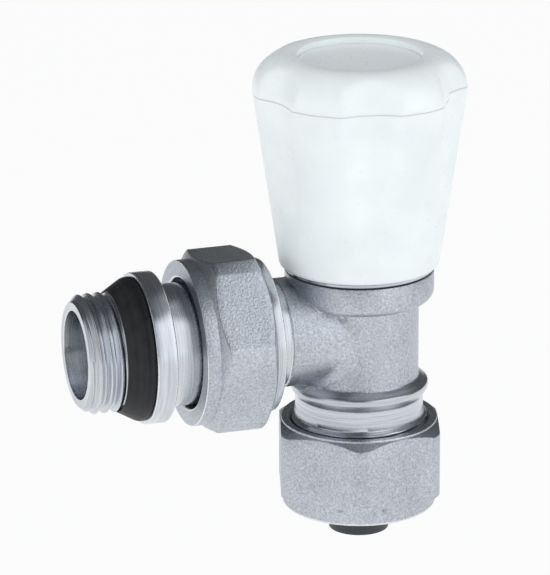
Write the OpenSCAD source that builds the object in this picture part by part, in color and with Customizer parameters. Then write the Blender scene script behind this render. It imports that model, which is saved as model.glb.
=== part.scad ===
// Angled radiator valve with a union tail, a handwheel and a compression
// connection for a multilayer pipe.
//
// The origin lies on the tail's axis, where the thread that shows ends at the
// seal and the radiator's face comes to lie. +X runs along the tail towards the
// valve, +Z runs up along the stem. All threads are plain cylinders of their
// outer diameter.

/* [Tail] */
// Outer diameter of the half inch pipe thread
tail_thread_d = 20.96; // [20.4:0.02:21.4]
// Length of full thread in front of the seal
tail_thread_l = 4.9; // [4:0.1:7]
// Length of the chamfer at the thread's free end
tail_tip_l = 1.4; // [0.8:0.1:2]
// Outer diameter of the tail's flat end face
tail_tip_d = 18.2; // [17:0.1:19.4]
// Bore of the tail at its free end
tail_bore_d = 15.4; // [13.6:0.1:16]
// Length of the wide bore from the end face
tail_bore_l = 22; // [16:0.5:26]
// Bore of the tail behind its step, which a stepped key grips
tail_key_d = 12.6; // [10:0.1:13.2]
// Diameter of the relief under the seal
tail_relief_d = 18.6; // [18:0.1:19.6]
// Diameter of the flange that backs the seal
flange_d = 26.4; // [26:0.1:28]
// Width of the flange
flange_w = 3.65; // [2.5:0.05:5]
// Bevel on the flange's edges
flange_bevel = 0.3; // [0.1:0.05:0.6]
// Diameter of the neck that the union nut turns on
neck_d = 21.4; // [20.6:0.1:22]
// Length of neck that shows between the flange and the union nut
neck_l = 4.8; // [2:0.1:8]

/* [Seal] */
// Length of the rubber cone along the tail
seal_l = 4.55; // [3.5:0.05:6]
// Length of the straight rim at the cone's wide end
seal_rim_l = 1.05; // [0.6:0.05:1.5]
// Outer diameter of the cone's narrow end
seal_nose_d = 21; // [20.4:0.1:21.6]
// Outer diameter of the cone's rim
seal_rim_d = 25.1; // [24:0.1:25.8]

/* [Union nut] */
// Size across the union nut's flats
union_af = 30; // [30:0.1:32]
// Diameter across the union nut's worn corners
union_corner_d = 33; // [32.4:0.1:34]
// Length of the union nut's hexagon
union_hex_l = 10.3; // [9:0.1:14]
// Diameter of the round collar in front of the hexagon
union_collar_d = 29; // [28.4:0.1:29.8]
// Length of the round collar in front of the hexagon
union_collar_l = 2.4; // [1.5:0.1:4]
// Hole in the union nut's front wall
union_hole_d = 22.94; // [22.4:0.02:23.2]
// Thickness of the union nut's front wall
union_wall = 2.2; // [1.6:0.1:3]
// Angle of the chamfers on both nuts
nut_chamfer_deg = 30; // [20:1:40]
// Turn of the union nut's hexagon about the tail
union_turn = 23.5; // [0:0.5:60]

/* [Union joint] */
// Outer diameter of the three quarter inch thread on the branch
union_thread_d = 26.44; // [26:0.02:26.8]
// Wire thickness of the snap ring behind the union nut's wall
snap_wire = 1.6; // [1.2:0.05:1.8]
// Depth of the snap ring's groove in the tail
snap_depth = 0.5; // [0.4:0.05:0.7]
// Diameter of the tail's head
head_d = 22.6; // [22:0.05:22.8]
// Thickness of the tail's head
head_l = 0.95; // [0.6:0.05:1.5]
// Diameter of the wide end of the tail's sealing cone
cone_wide_d = 20.4; // [19.4:0.1:21]
// Diameter of the narrow end of the tail's sealing cone
cone_tip_d = 16.4; // [15.6:0.1:17]
// Length of the tail's sealing cone
cone_l = 3.4; // [2.8:0.1:4.4]
// Wire thickness of the seal ring in the tail's cone
cone_ring = 1.5; // [1.2:0.1:1.8]

/* [Valve body] */
// Width of the round shoulder behind the union nut
shoulder_w = 1.65; // [1:0.05:3]
// Diameter of the round shoulder behind the union nut
shoulder_d = 27; // [26.8:0.1:29]
// Bevel on the shoulder's rear edge
shoulder_bevel = 0.35; // [0.1:0.05:0.6]
// Distance from the shoulder's rear to the stem's axis
branch_reach = 17.85; // [15:0.05:24]
// Outer diameter of the branch
branch_d = 19.1; // [17:0.1:20]
// Waterway through the branch
branch_bore_d = 11; // [8:0.1:12]
// Outer diameter of the barrel around the stem
barrel_d = 20.9; // [20.2:0.1:21.6]
// Height of the body's top face above the tail's axis
body_top = 10.45; // [10:0.05:13]
// Diameter of the collar at the top of the body
collar_d = 26.2; // [25:0.1:28]
// Height of the collar with its rounding
collar_h = 5.45; // [4.5:0.05:6]
// Rounding of the collar's lower edge
collar_round = 2; // [0.8:0.1:2.4]
// Depth of the ring bead's lower face below the tail's axis
bead_z = 11.2; // [11:0.1:12]
// Diameter of the ring bead
bead_d = 24.3; // [23.4:0.1:25.4]
// Height of the bead's straight rim
bead_rim = 1; // [0.6:0.05:1.4]
// Height of the bead's sloping upper side
bead_slope = 1; // [0.4:0.05:1.4]
// Diameter of the groove between the bead and the pipe thread
groove_d = 22.6; // [22:0.1:23]
// Height of the groove with the thread's upper chamfer
groove_h = 5; // [3.5:0.05:5.4]
// Upper and lower chamfer of the pipe thread, along the stem
thread_chamfer = 0.9; // [0.4:0.05:1.2]
// Outer diameter of the pipe thread
pipe_thread_d = 24; // [23.6:0.02:24.6]
// Depth of the body's lower face below the tail's axis
body_bottom = 24.5; // [23.5:0.1:26]
// Diameter of the chamber around the closing disc
chamber_d = 16.6; // [15.6:0.1:17]
// Depth of the chamber's floor below the tail's axis
chamber_floor = 5.6; // [5.5:0.1:6.2]
// Waterway through the valve seat
seat_bore_d = 9.6; // [8:0.1:10.4]
// Width of the seat's raised lip
seat_lip_w = 0.7; // [0.6:0.05:0.8]
// Height of the seat's raised lip
seat_lip_h = 0.6; // [0.4:0.05:0.8]
// Thickness of the wall that carries the seat
seat_wall = 2.4; // [1.8:0.1:3.4]
// Waterway below the seat
inlet_bore_d = 12; // [10:0.1:14]
// Bore of the socket for the pipe adaptor
socket_d = 17; // [16.6:0.1:17.6]
// Depth of the socket for the pipe adaptor
socket_l = 5.5; // [4.8:0.1:6.5]
// Chamfer at the socket's mouth
socket_chamfer = 1.5; // [1:0.05:1.8]

/* [Pipe adaptor] */
// Outer diameter of the pipe that fits
pipe_d = 16; // [15.6:0.1:16.4]
// Bore of the pipe that fits
pipe_bore_d = 12; // [11.8:0.1:12.4]
// Radial clearance between the adaptor's barrel and the pipe's bore
pipe_slack = 0.2; // [0.15:0.05:0.3]
// Waterway through the adaptor
adaptor_bore_d = 8; // [7:0.1:8.4]
// Length of the adaptor's nose inside the socket
nose_l = 3.3; // [2.8:0.1:3.6]
// Diameter of the adaptor's collar
adaptor_collar_d = 20.4; // [20.2:0.1:22]
// Thickness of the adaptor's collar
adaptor_collar_h = 1.3; // [0.9:0.05:1.5]
// Thickness of the insulating washer that the pipe's end meets
washer_h = 0.8; // [0.5:0.05:1]
// Diameter of the adaptor where the insulating washer sits
washer_seat_d = 10.8; // [10:0.1:11]
// Length of the adaptor's barrel below the insulating washer
adaptor_barrel_l = 6.4; // [5.6:0.1:7]
// Length of the thinner tip below the barrel
adaptor_tip_l = 4.7; // [3:0.1:7]
// Diameter of the thinner tip
adaptor_tip_d = 10.6; // [10:0.1:11]
// Wire thickness of the seal rings on the barrel
barrel_ring = 1.2; // [1:0.05:1.4]
// Distance between the seal rings on the barrel
barrel_ring_gap = 2.8; // [2.2:0.1:3.2]
// Wire thickness of the seal ring on the adaptor's nose
nose_ring = 1.4; // [1.2:0.05:1.6]

/* [Compression nut] */
// Size across the compression nut's flats
nut_af = 28; // [27.6:0.1:30]
// Diameter across the compression nut's worn corners
nut_corner_d = 31; // [30.4:0.1:31.8]
// Depth of the nut's upper face below the tail's axis
nut_top = 17; // [16.6:0.1:19]
// Diameter of the nut's round upper edge
nut_top_d = 27.6; // [27.2:0.1:28]
// Height of the nut's round upper edge
nut_top_h = 0.4; // [0.2:0.05:1]
// Height of the nut's hexagon with its chamfer
nut_hex_h = 12.6; // [12.2:0.1:14]
// Diameter of the round band below the hexagon
nut_band_d = 27.1; // [26:0.1:27.5]
// Height of the round band below the hexagon
nut_band_h = 3; // [2:0.1:4]
// Chamfer at the nut's mouth
nut_mouth = 0.55; // [0.3:0.05:0.8]
// Turn of the nut's hexagon about the stem
nut_turn = 13; // [0:0.5:60]
// Depth of the split ring's upper face below the tail's axis
ring_top = 26.9; // [26.85:0.05:27.2]
// Height of the split ring
ring_h = 3.3; // [2.8:0.1:3.5]
// Outer diameter of the split ring
ring_d = 20.8; // [20.2:0.1:21.6]
// Height of the split ring's straight part
ring_straight = 1.2; // [0.8:0.1:1.6]
// Half angle of the split ring's cone
ring_cone_deg = 38; // [25:1:40]
// Width of the split ring's slit
ring_slit = 1.6; // [1:0.1:2.4]

/* [Headwork] */
// Thickness of the gasket under the headwork's flange
gasket_h = 0.35; // [0.25:0.05:0.6]
// Diameter of the headwork's thread in the body
head_thread_d = 18; // [17.6:0.1:19]
// Length of the headwork's thread in the body
head_thread_l = 4.7; // [4:0.1:4.8]
// Thickness of the headwork's flange
head_flange_h = 0.5; // [0.35:0.05:0.6]
// Size across the headwork's flats
head_af = 19; // [18:0.1:20]
// Height of the headwork's hexagon
head_hex_h = 6; // [4:0.1:8]
// Diameter of the headwork's neck
head_neck_d = 14; // [13:0.1:15]
// Height of the headwork's neck above its hexagon
head_neck_h = 11.5; // [10:0.1:12]
// Depth of the bore for the spindle's thread, above the headwork's lower end
head_cavity_l = 11.6; // [11:0.1:12.6]

/* [Spindle and disc] */
// Outer diameter of the spindle's lifting thread
spindle_thread_d = 10; // [9:0.1:11]
// Length of the spindle's lifting thread
spindle_thread_l = 7.5; // [6:0.1:7.6]
// Height of the thread's lower end above the headwork's lower end
spindle_thread_z = 0.25; // [0.1:0.05:0.4]
// Diameter of the spindle in the seal rings' bore
spindle_d = 7; // [6.4:0.1:7.4]
// Size across the flats of the spindle's square end
spindle_square = 5; // [4.6:0.1:5.2]
// Length of the square end inside the handwheel
spindle_square_l = 8; // [6:0.1:9]
// Wire thickness of the spindle's seal rings
spindle_ring = 1.5; // [1.2:0.1:1.8]
// Distance between the spindle's seal rings
spindle_ring_gap = 3.5; // [2.6:0.1:4]
// Diameter of the spindle's tip in the disc holder
spindle_tip_d = 5.6; // [5.2:0.1:6]
// Length of the spindle's tip in the disc holder
spindle_tip_l = 4; // [3.4:0.1:4.4]
// Diameter of the disc holder
holder_d = 14.4; // [13.6:0.1:15]
// Height of the disc holder's skirt around the seat washer
holder_skirt = 1.6; // [1:0.1:1.9]
// Thickness of the disc holder's roof above the seat washer
holder_roof = 1.3; // [1:0.05:1.6]
// Wall of the disc holder's neck around the spindle's tip
holder_wall = 1.5; // [1:0.1:2]
// Thickness of the seat washer
seat_washer_h = 2.2; // [2:0.1:2.8]
// Diameter of the seat washer
seat_washer_d = 12.4; // [12.2:0.1:13]
// Wire thickness of the snap ring between the spindle and the disc holder
disc_wire = 0.8; // [0.6:0.05:1]
// Diameter of the disc screw's shank
disc_screw_d = 2.6; // [2.2:0.1:3]
// Diameter of the disc screw's head
disc_screw_head_d = 5; // [4.4:0.1:6]
// Height of the disc screw's head
disc_screw_head_h = 1.1; // [0.8:0.1:1.4]

/* [Handwheel] */
// Height of the handwheel's lower rim above the headwork's flange
wheel_gap = 0.15; // [0.1:0.05:0.6]
// Height of the handwheel
wheel_h = 37.5; // [36.5:0.1:40]
// Diameter of the handwheel's lower rim
wheel_rim_d = 28; // [28:0.1:29.4]
// Diameter of the handwheel at its widest
wheel_d = 37.2; // [36.4:0.1:40]
// Rounding of the handwheel's crown
wheel_round = 6; // [5:0.1:6.6]
// Rounding of the handwheel's lower rim
wheel_rim_round = 0.6; // [0.3:0.05:0.7]
// Thickness of the handwheel's wall at its rim
wheel_wall = 1.5; // [1.2:0.05:1.6]
// Thickness of the handwheel's wall at its widest
wheel_top_wall = 3.2; // [3:0.1:4]
// Thickness of the handwheel's roof below its crown
wheel_roof = 5.4; // [5:0.1:5.8]
// Number of finger flutes
flutes = 6; // [5:1:8]
// Radius of the flutes' hollow
flute_r = 10.5; // [8:0.5:14]
// Depth of the flutes at the handwheel's widest
flute_depth = 1.8; // [1:0.1:1.9]
// Angle by which the flutes flare out over the crown's rounding
flute_flare_deg = 17; // [0:1:20]
// Height above the rim where the flutes run out
flute_end = 9; // [6:0.5:16]
// Turn of the flutes about the stem
flute_turn = 16.86; // [0:0.02:60]
// Diameter of the recess in the handwheel's crown
recess_d = 21.7; // [20:0.1:22.4]
// Depth from the crown to the cap's face
recess_depth = 1; // [0.6:0.05:1.4]
// Thickness of the cap
cap_h = 1.2; // [0.8:0.05:1.6]
// Diameter of the handwheel's hub
hub_d = 12; // [11:0.1:13.6]
// Number of ribs between the hub and the wall
ribs = 6; // [3:1:6]
// Thickness of the ribs
rib_w = 1.2; // [0.8:0.1:1.6]
// Height of the ribs
rib_h = 9; // [5:0.5:10]
// Diameter of the handwheel screw's shank
wheel_screw_d = 2.8; // [2.4:0.1:3]
// Diameter of the handwheel screw's head
wheel_screw_head_d = 6.6; // [5.4:0.1:7.4]
// Height of the handwheel screw's head
wheel_screw_head_h = 1.8; // [1.4:0.1:2]
// Length of the handwheel screw in the spindle
wheel_screw_l = 6; // [4:0.5:7]

/* [Fits] */
// Radial clearance of threads and turning fits
fit = 0.05; // [0.02:0.01:0.08]
// Gap between pieces that stay clear of each other
gap = 0.2; // [0.1:0.05:0.25]
// Bevel on small turned edges
bevel = 0.3; // [0.1:0.05:0.4]
// Bevel on fine edges
fine_bevel = 0.1; // [0.05:0.01:0.15]

/* [Hidden] */

$fn = 96;
hair = 0.01;

nickel = [0.72, 0.74, 0.78];
satin = [0.78, 0.80, 0.83];
brass = [0.80, 0.66, 0.36];
white = [0.95, 0.97, 0.97];
rubber = [0.08, 0.08, 0.09];
dark = [0.22, 0.23, 0.25];

// Stations along the tail, from the thread's inner end
tail_end_x = -tail_thread_l - tail_tip_l;
flange_x = seal_l;
neck_x = flange_x + flange_w;
union_x = neck_x + neck_l;
union_hex_x = union_x + union_collar_l;
union_rear_x = union_hex_x + union_hex_l;
shoulder_x = union_rear_x + gap;
stem_x = shoulder_x + shoulder_w + branch_reach;
union_wall_x = union_x + union_wall;
snap_x = union_wall_x + fit + snap_wire / 2;
head_x = snap_x + snap_wire / 2 + fit;
mouth_x = head_x + head_l + fit;
cone_tip_x = mouth_x + cone_l;

// Levels along the stem, from the tail's axis
collar_low = body_top - collar_h;
groove_low = -bead_z - groove_h;
seat_top = -chamber_floor + seat_lip_h;
inlet_top = -chamber_floor - seat_wall;
socket_top = -body_bottom + socket_l;
head_low = body_top - head_thread_l - bevel;
flange_low = body_top + gasket_h;
hex_low = flange_low + head_flange_h;
neck_low = hex_low + head_hex_h;
neck_top = neck_low + head_neck_h;
cavity_top = head_low + head_cavity_l;
spindle_low = head_low + spindle_thread_z;
square_low = neck_top + 2 * bevel;
square_top = square_low + spindle_square_l;
spindle_tip_z = spindle_low - spindle_tip_l;
washer_low = seat_top + fit;
washer_top = washer_low + seat_washer_h;
holder_top = spindle_low - gap;
disc_ring_z = spindle_tip_z + spindle_tip_l / 2;

// Levels of the pipe adaptor and its nut
nose_low = socket_chamfer - body_bottom;
nose_top = nose_low + nose_l;
adaptor_collar_top = -body_bottom - gap;
stop_z = adaptor_collar_top - adaptor_collar_h;
barrel_top = stop_z - washer_h;
barrel_low = barrel_top - adaptor_barrel_l;
tip_low = barrel_low - adaptor_tip_l;
ring_low = -ring_top - ring_h;
nut_hex_low = -nut_top - nut_top_h - nut_hex_h;
nut_low = nut_hex_low - nut_band_h;
barrel_d_pipe = pipe_bore_d - 2 * pipe_slack;

// Levels of the handwheel
wheel_low = hex_low + wheel_gap;
wheel_top = wheel_low + wheel_h;
wheel_wide_z = wheel_top - wheel_round;
flute_knee = 0.5;
roof_z = wheel_top - wheel_roof;
cap_z = wheel_top - recess_depth - cap_h;
screw_head_z = cap_z - wheel_screw_head_h - gap;

// Turns a profile drawn as radius and station into a solid along the tail
module along_tail() rotate([0, 90, 0]) children();

// Moves a solid that is drawn about the Z axis onto the stem
module on_stem() translate([stem_x, 0, 0]) children();

// Rectangle between two radii and two levels, for turned profiles
module band(r0, r1, z0, z1) translate([r0, z0]) square([r1 - r0, z1 - z0]);

// Turned ring between two radii and two levels
module tube(r0, r1, z0, z1) rotate_extrude() band(r0, r1, z0, z1);

// Turned disc with a bevel on its lower and its upper edge
module turned(r, z0, z1, low = 0, high = 0)
    rotate_extrude() polygon([
        [0, z0], [r - low, z0], [r, z0 + low], [r, z1 - high], [r - high, z1], [0, z1]
    ]);

// Cone or cylinder between two levels
module taper(z0, z1, r0, r1) translate([0, 0, z0]) cylinder(h = z1 - z0, r1 = r0, r2 = r1);

// Seal ring or wire ring of round section around the axis
module wire_ring(mid_r, wire, z) rotate_extrude() translate([mid_r, z]) circle(d = wire, $fn = 48);

// Hexagon whose corners are worn round and whose ends are chamfered
module hexagon(af, corner_d, z0, z1, low_d, high_d) {
    slope = tan(nut_chamfer_deg);
    low = low_d > 0 ? (corner_d - low_d) / 2 * slope : 0;
    high = high_d > 0 ? (corner_d - high_d) / 2 * slope : 0;
    intersection() {
        translate([0, 0, z0]) cylinder(h = z1 - z0, r = af / 2 / cos(30), $fn = 6);
        rotate_extrude() polygon([
            [0, z0], [(low_d > 0 ? low_d : corner_d) / 2, z0], [corner_d / 2, z0 + low],
            [corner_d / 2, z1 - high], [(high_d > 0 ? high_d : corner_d) / 2, z1], [0, z1]
        ]);
    }
}

// Outer form of the barrel: collar, bead, groove and pipe thread
module barrel_form() {
    rotate_extrude() {
        band(0, barrel_d / 2, -bead_z, body_top);
        band(0, collar_d / 2, collar_low + collar_round, body_top);
        band(0, collar_d / 2 - collar_round, collar_low, body_top);
        intersection() {
            translate([collar_d / 2 - collar_round, collar_low + collar_round])
                circle(r = collar_round);
            band(0, collar_d, collar_low, body_top);
        }
        polygon([
            [0, -bead_z], [bead_d / 2, -bead_z], [bead_d / 2, -bead_z + bead_rim],
            [barrel_d / 2, -bead_z + bead_rim + bead_slope], [0, -bead_z + bead_rim + bead_slope]
        ]);
        polygon([
            [0, -bead_z], [groove_d / 2, -bead_z], [groove_d / 2, groove_low + thread_chamfer],
            [pipe_thread_d / 2, groove_low], [pipe_thread_d / 2, thread_chamfer - body_bottom],
            [pipe_thread_d / 2 - thread_chamfer, -body_bottom], [0, -body_bottom]
        ]);
    }
}

// Outer form of the branch: shoulder, union thread and pipe to the barrel
module branch_form() {
    rotate_extrude() polygon([
        [0, mouth_x], [union_thread_d / 2 - thread_chamfer, mouth_x],
        [union_thread_d / 2, mouth_x + thread_chamfer], [union_thread_d / 2, shoulder_x],
        [shoulder_d / 2, shoulder_x], [shoulder_d / 2, shoulder_x + shoulder_w - shoulder_bevel],
        [shoulder_d / 2 - shoulder_bevel, shoulder_x + shoulder_w],
        [branch_d / 2, shoulder_x + shoulder_w], [branch_d / 2, stem_x], [0, stem_x]
    ]);
}

// Waterway along the stem: headwork thread, chamber, seat, inlet and adaptor socket
module stem_waterway() {
    rotate_extrude() {
        band(0, head_thread_d / 2 + fit, head_low - gap, body_top + 1);
        band(0, chamber_d / 2, seat_top, head_low);
        difference() {
            band(0, chamber_d / 2, -chamber_floor, seat_top + hair);
            band(seat_bore_d / 2, seat_bore_d / 2 + seat_lip_w, -chamber_floor, seat_top);
        }
        band(0, seat_bore_d / 2, inlet_top - hair, seat_top + hair);
        band(0, inlet_bore_d / 2, socket_top - hair, inlet_top);
        band(0, socket_d / 2, -body_bottom - 1, socket_top);
        polygon([
            [0, nose_low], [socket_d / 2, nose_low],
            [socket_d / 2 + socket_chamfer + 1, -body_bottom - 1], [0, -body_bottom - 1]
        ]);
    }
}

// Waterway along the branch with the cone that the tail seals against
module branch_waterway() {
    slope = (cone_wide_d - cone_tip_d) / 2 / cone_l;
    wide_r = cone_wide_d / 2 + gap;
    rotate_extrude() polygon([
        [0, mouth_x - 1], [wide_r + slope, mouth_x - 1],
        [wide_r - slope * (cone_l + gap), cone_tip_x + gap], [branch_bore_d / 2, cone_tip_x + gap],
        [branch_bore_d / 2, stem_x], [0, stem_x]
    ]);
}

module valve_body() {
    color(nickel) difference() {
        union() {
            on_stem() barrel_form();
            along_tail() branch_form();
        }
        on_stem() stem_waterway();
        along_tail() branch_waterway();
    }
}

module bonnet_gasket() {
    color(dark) on_stem()
        tube(head_thread_d / 2 + gap, collar_d / 2 - gap, body_top, flange_low);
}

module bonnet() {
    color(brass) on_stem() difference() {
        union() {
            turned(head_thread_d / 2, head_low, flange_low + hair, bevel, 0);
            turned(collar_d / 2, flange_low, hex_low, 0, fine_bevel);
            hexagon(head_af, head_af / cos(30) - 2 * bevel, hex_low - hair, neck_low, 0, head_af);
            turned(head_neck_d / 2, neck_low - hair, neck_top, 0, bevel);
        }
        taper(head_low - 1, cavity_top, spindle_thread_d / 2 + fit, spindle_thread_d / 2 + fit);
        taper(cavity_top - hair, neck_top + 1, spindle_d / 2 + fit, spindle_d / 2 + fit);
    }
}

// Middle radius of the spindle's seal rings and the levels that they lie at
spindle_ring_r = spindle_d / 2 + fit / 2 - spindle_ring / 2;
spindle_ring_low = cavity_top + spindle_ring;
spindle_ring_z = [for (i = [0:1]) spindle_ring_low + i * spindle_ring_gap];

// Groove of square section for a ring of round wire, open outwards
module ring_groove(floor_r, wire, z)
    tube(floor_r, floor_r + 2 * wire, z - wire / 2 - fit, z + wire / 2 + fit);

module spindle() {
    tip_r = spindle_tip_d / 2;
    color(brass) on_stem() difference() {
        union() {
            turned(tip_r, spindle_tip_z, spindle_low + hair, bevel, 0);
            turned(spindle_thread_d / 2, spindle_low, spindle_low + spindle_thread_l, bevel, bevel);
            turned(spindle_d / 2, spindle_low + spindle_thread_l - hair, square_low, 0, bevel);
            translate([-spindle_square / 2, -spindle_square / 2, square_low - hair])
                cube([spindle_square, spindle_square, spindle_square_l]);
        }
        for (z = spindle_ring_z)
            ring_groove(spindle_ring_r - spindle_ring / 2, spindle_ring, z);
        ring_groove(tip_r - disc_wire / 2, disc_wire, disc_ring_z);
        taper(square_top - wheel_screw_l - 1, square_top + 1,
            wheel_screw_d / 2 + fit, wheel_screw_d / 2 + fit);
    }
}

module spindle_o_rings() {
    color(rubber) on_stem() for (z = spindle_ring_z)
        wire_ring(spindle_ring_r, spindle_ring, z);
}

module disc_holder() {
    tip_r = spindle_tip_d / 2 + fit;
    color(brass) on_stem() difference() {
        union() {
            turned(holder_d / 2, washer_top - holder_skirt, washer_top + holder_roof, bevel, bevel);
            turned(tip_r + holder_wall, washer_top + holder_roof - hair, holder_top, 0, bevel);
        }
        taper(washer_low, washer_top, seat_washer_d / 2 + fit, seat_washer_d / 2 + fit);
        taper(spindle_tip_z - gap, holder_top + 1, tip_r, tip_r);
        tube(0, tip_r + disc_wire / 2, disc_ring_z - disc_wire / 2 - fit,
            disc_ring_z + disc_wire / 2 + fit);
        taper(washer_low, spindle_tip_z, disc_screw_d / 2, disc_screw_d / 2);
    }
}

module disc_snap_ring() {
    color(satin) on_stem() difference() {
        wire_ring(spindle_tip_d / 2 + fit, disc_wire, disc_ring_z);
        translate([0, -disc_wire / 2, disc_ring_z - disc_wire])
            cube([spindle_tip_d, disc_wire, 2 * disc_wire]);
    }
}

module seat_washer() {
    color(rubber) on_stem() difference() {
        turned(seat_washer_d / 2, washer_low, washer_top, 0, 0);
        taper(washer_low - 1, washer_top + 1, disc_screw_d / 2 + fit, disc_screw_d / 2 + fit);
    }
}

module disc_screw() {
    head_r = disc_screw_head_d / 2;
    low = washer_low - disc_screw_head_h;
    slot = disc_screw_head_h / 2;
    color(brass) on_stem() difference() {
        union() {
            turned(head_r, low, washer_low, bevel, 0);
            turned(disc_screw_d / 2, washer_low - hair, spindle_tip_z - gap, 0, 0);
        }
        translate([-head_r, -slot / 2, low - 1]) cube([2 * head_r, slot, slot + 1]);
    }
}

// Radius of the handwheel's straight side at a level
function side_r(z) = wheel_rim_d / 2
    + (wheel_d - wheel_rim_d) / 2 * (z - wheel_low) / (wheel_wide_z - wheel_low);

// Outer form of the handwheel before its flutes
module wheel_form() {
    rotate_extrude() {
        polygon([
            [0, wheel_low], [wheel_rim_d / 2 - wheel_rim_round, wheel_low],
            [side_r(wheel_low + wheel_rim_round), wheel_low + wheel_rim_round],
            [wheel_d / 2, wheel_wide_z], [0, wheel_wide_z]
        ]);
        translate([wheel_rim_d / 2 - wheel_rim_round, wheel_low + wheel_rim_round])
            circle(r = wheel_rim_round);
        band(0, wheel_d / 2 - wheel_round, wheel_wide_z, wheel_top);
        intersection() {
            translate([wheel_d / 2 - wheel_round, wheel_wide_z]) circle(r = wheel_round);
            band(0, wheel_d, wheel_wide_z, wheel_top);
        }
    }
}

// Cutters of the finger flutes: upright cones that meet the side at flute_end
// and flare out again over the crown's rounding, from flute_knee upwards
module flute_cutters() {
    low_z = wheel_low + flute_end;
    high_r = wheel_d / 2 - flute_depth;
    lean = (high_r - side_r(low_z)) / (wheel_wide_z - low_z);
    depth = flute_knee + wheel_h;
    reach = wheel_round - flute_knee + 1;
    for (i = [0:flutes - 1])
        rotate([0, 0, flute_turn + i * 360 / flutes])
            translate([high_r + flute_r, 0, wheel_wide_z + flute_knee])
                rotate([0, 0, 90]) rotate_extrude() polygon([
                    [0, -depth], [flute_r + depth * lean, -depth], [flute_r, 0],
                    [flute_r + reach * tan(flute_flare_deg), reach], [0, reach]
                ]);
}

// Hollow under the handwheel's roof, around its hub and ribs
module wheel_hollow() {
    low_r = wheel_rim_d / 2 - wheel_wall;
    high_r = wheel_d / 2 - wheel_top_wall;
    hub_low = neck_top + gap;
    difference() {
        taper(wheel_low - hair, roof_z, low_r, high_r);
        taper(hub_low, roof_z, hub_d / 2, hub_d / 2);
        for (i = [0:ribs - 1])
            rotate([0, 0, flute_turn + (i + 0.5) * 360 / ribs])
                translate([0, -rib_w / 2, roof_z - rib_h]) cube([wheel_d, rib_w, rib_h]);
    }
}

module handwheel() {
    square = spindle_square + 2 * fit;
    color(white) on_stem() difference() {
        wheel_form();
        flute_cutters();
        wheel_hollow();
        translate([-square / 2, -square / 2, neck_top - hair])
            cube([square, square, square_top + gap - neck_top]);
        taper(neck_top - hair, square_low + gap, spindle_d / 2 + gap, spindle_d / 2 + gap);
        taper(square_top, wheel_top, wheel_screw_d / 2 + gap, wheel_screw_d / 2 + gap);
        taper(screw_head_z, wheel_top, wheel_screw_head_d / 2 + gap, wheel_screw_head_d / 2 + gap);
        taper(cap_z, wheel_top + 1, recess_d / 2, recess_d / 2);
    }
}

module handwheel_cap() {
    color(white) on_stem() turned(recess_d / 2 - fit, cap_z, cap_z + cap_h, bevel, fine_bevel);
}

module handwheel_screw() {
    head_r = wheel_screw_head_d / 2;
    head_top = screw_head_z + wheel_screw_head_h;
    cross = wheel_screw_head_h / 2;
    color(satin) on_stem() difference() {
        union() {
            turned(head_r, screw_head_z, head_top, 0, bevel);
            turned(wheel_screw_d / 2, square_top - wheel_screw_l, screw_head_z + hair, bevel, 0);
        }
        for (a = [0, 90]) rotate([0, 0, a])
            translate([-head_r / 2, -cross / 2, head_top - cross]) cube([head_r, cross, cross + 1]);
    }
}

// Radius of the tail's sealing cone at a station
function cone_r(x) = cone_wide_d / 2
    - (cone_wide_d - cone_tip_d) / 2 * (x - mouth_x) / cone_l;

// Middle radius and station of the seal ring in the tail's cone
cone_ring_x = mouth_x + cone_l / 2;
cone_ring_r = cone_r(cone_ring_x) - cone_ring / 2 + fit;

module tailpiece() {
    thread_r = tail_thread_d / 2;
    color(satin) along_tail() difference() {
        rotate_extrude() polygon([
            [0, tail_end_x], [tail_tip_d / 2, tail_end_x], [thread_r, -tail_thread_l],
            [thread_r, 0], [tail_relief_d / 2, thread_r - tail_relief_d / 2],
            [tail_relief_d / 2, flange_x], [flange_d / 2 - flange_bevel, flange_x],
            [flange_d / 2, flange_x + flange_bevel], [flange_d / 2, neck_x - flange_bevel],
            [flange_d / 2 - flange_bevel, neck_x], [neck_d / 2, neck_x], [neck_d / 2, head_x],
            [head_d / 2, head_x], [head_d / 2, mouth_x - fit], [cone_wide_d / 2, mouth_x - fit],
            [cone_wide_d / 2, mouth_x], [cone_tip_d / 2, cone_tip_x], [0, cone_tip_x]
        ]);
        taper(tail_end_x - 1, tail_end_x + tail_bore_l, tail_bore_d / 2, tail_bore_d / 2);
        taper(tail_end_x, cone_tip_x + 1, tail_key_d / 2, tail_key_d / 2);
        ring_groove(neck_d / 2 - snap_depth, snap_wire, snap_x);
        ring_groove(cone_ring_r - cone_ring / 2, cone_ring, cone_ring_x);
    }
}

module tail_gasket() {
    thread_r = tail_thread_d / 2;
    undercut = thread_r - tail_relief_d / 2;
    lip = min(bevel, undercut / 2);
    color(rubber) along_tail() rotate_extrude() polygon([
        [thread_r - lip, lip], [seal_nose_d / 2, 0], [seal_rim_d / 2, seal_l - seal_rim_l],
        [seal_rim_d / 2, seal_l], [tail_relief_d / 2, seal_l], [tail_relief_d / 2, undercut]
    ]);
}

module tail_o_ring() {
    color(rubber) along_tail() wire_ring(cone_ring_r, cone_ring, cone_ring_x);
}

module tail_snap_ring() {
    mid_r = neck_d / 2 - snap_depth + snap_wire / 2;
    color(satin) along_tail() difference() {
        wire_ring(mid_r, snap_wire, snap_x);
        translate([0, -snap_wire, snap_x - snap_wire]) cube([2 * mid_r, 2 * snap_wire, 2 * snap_wire]);
    }
}

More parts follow.
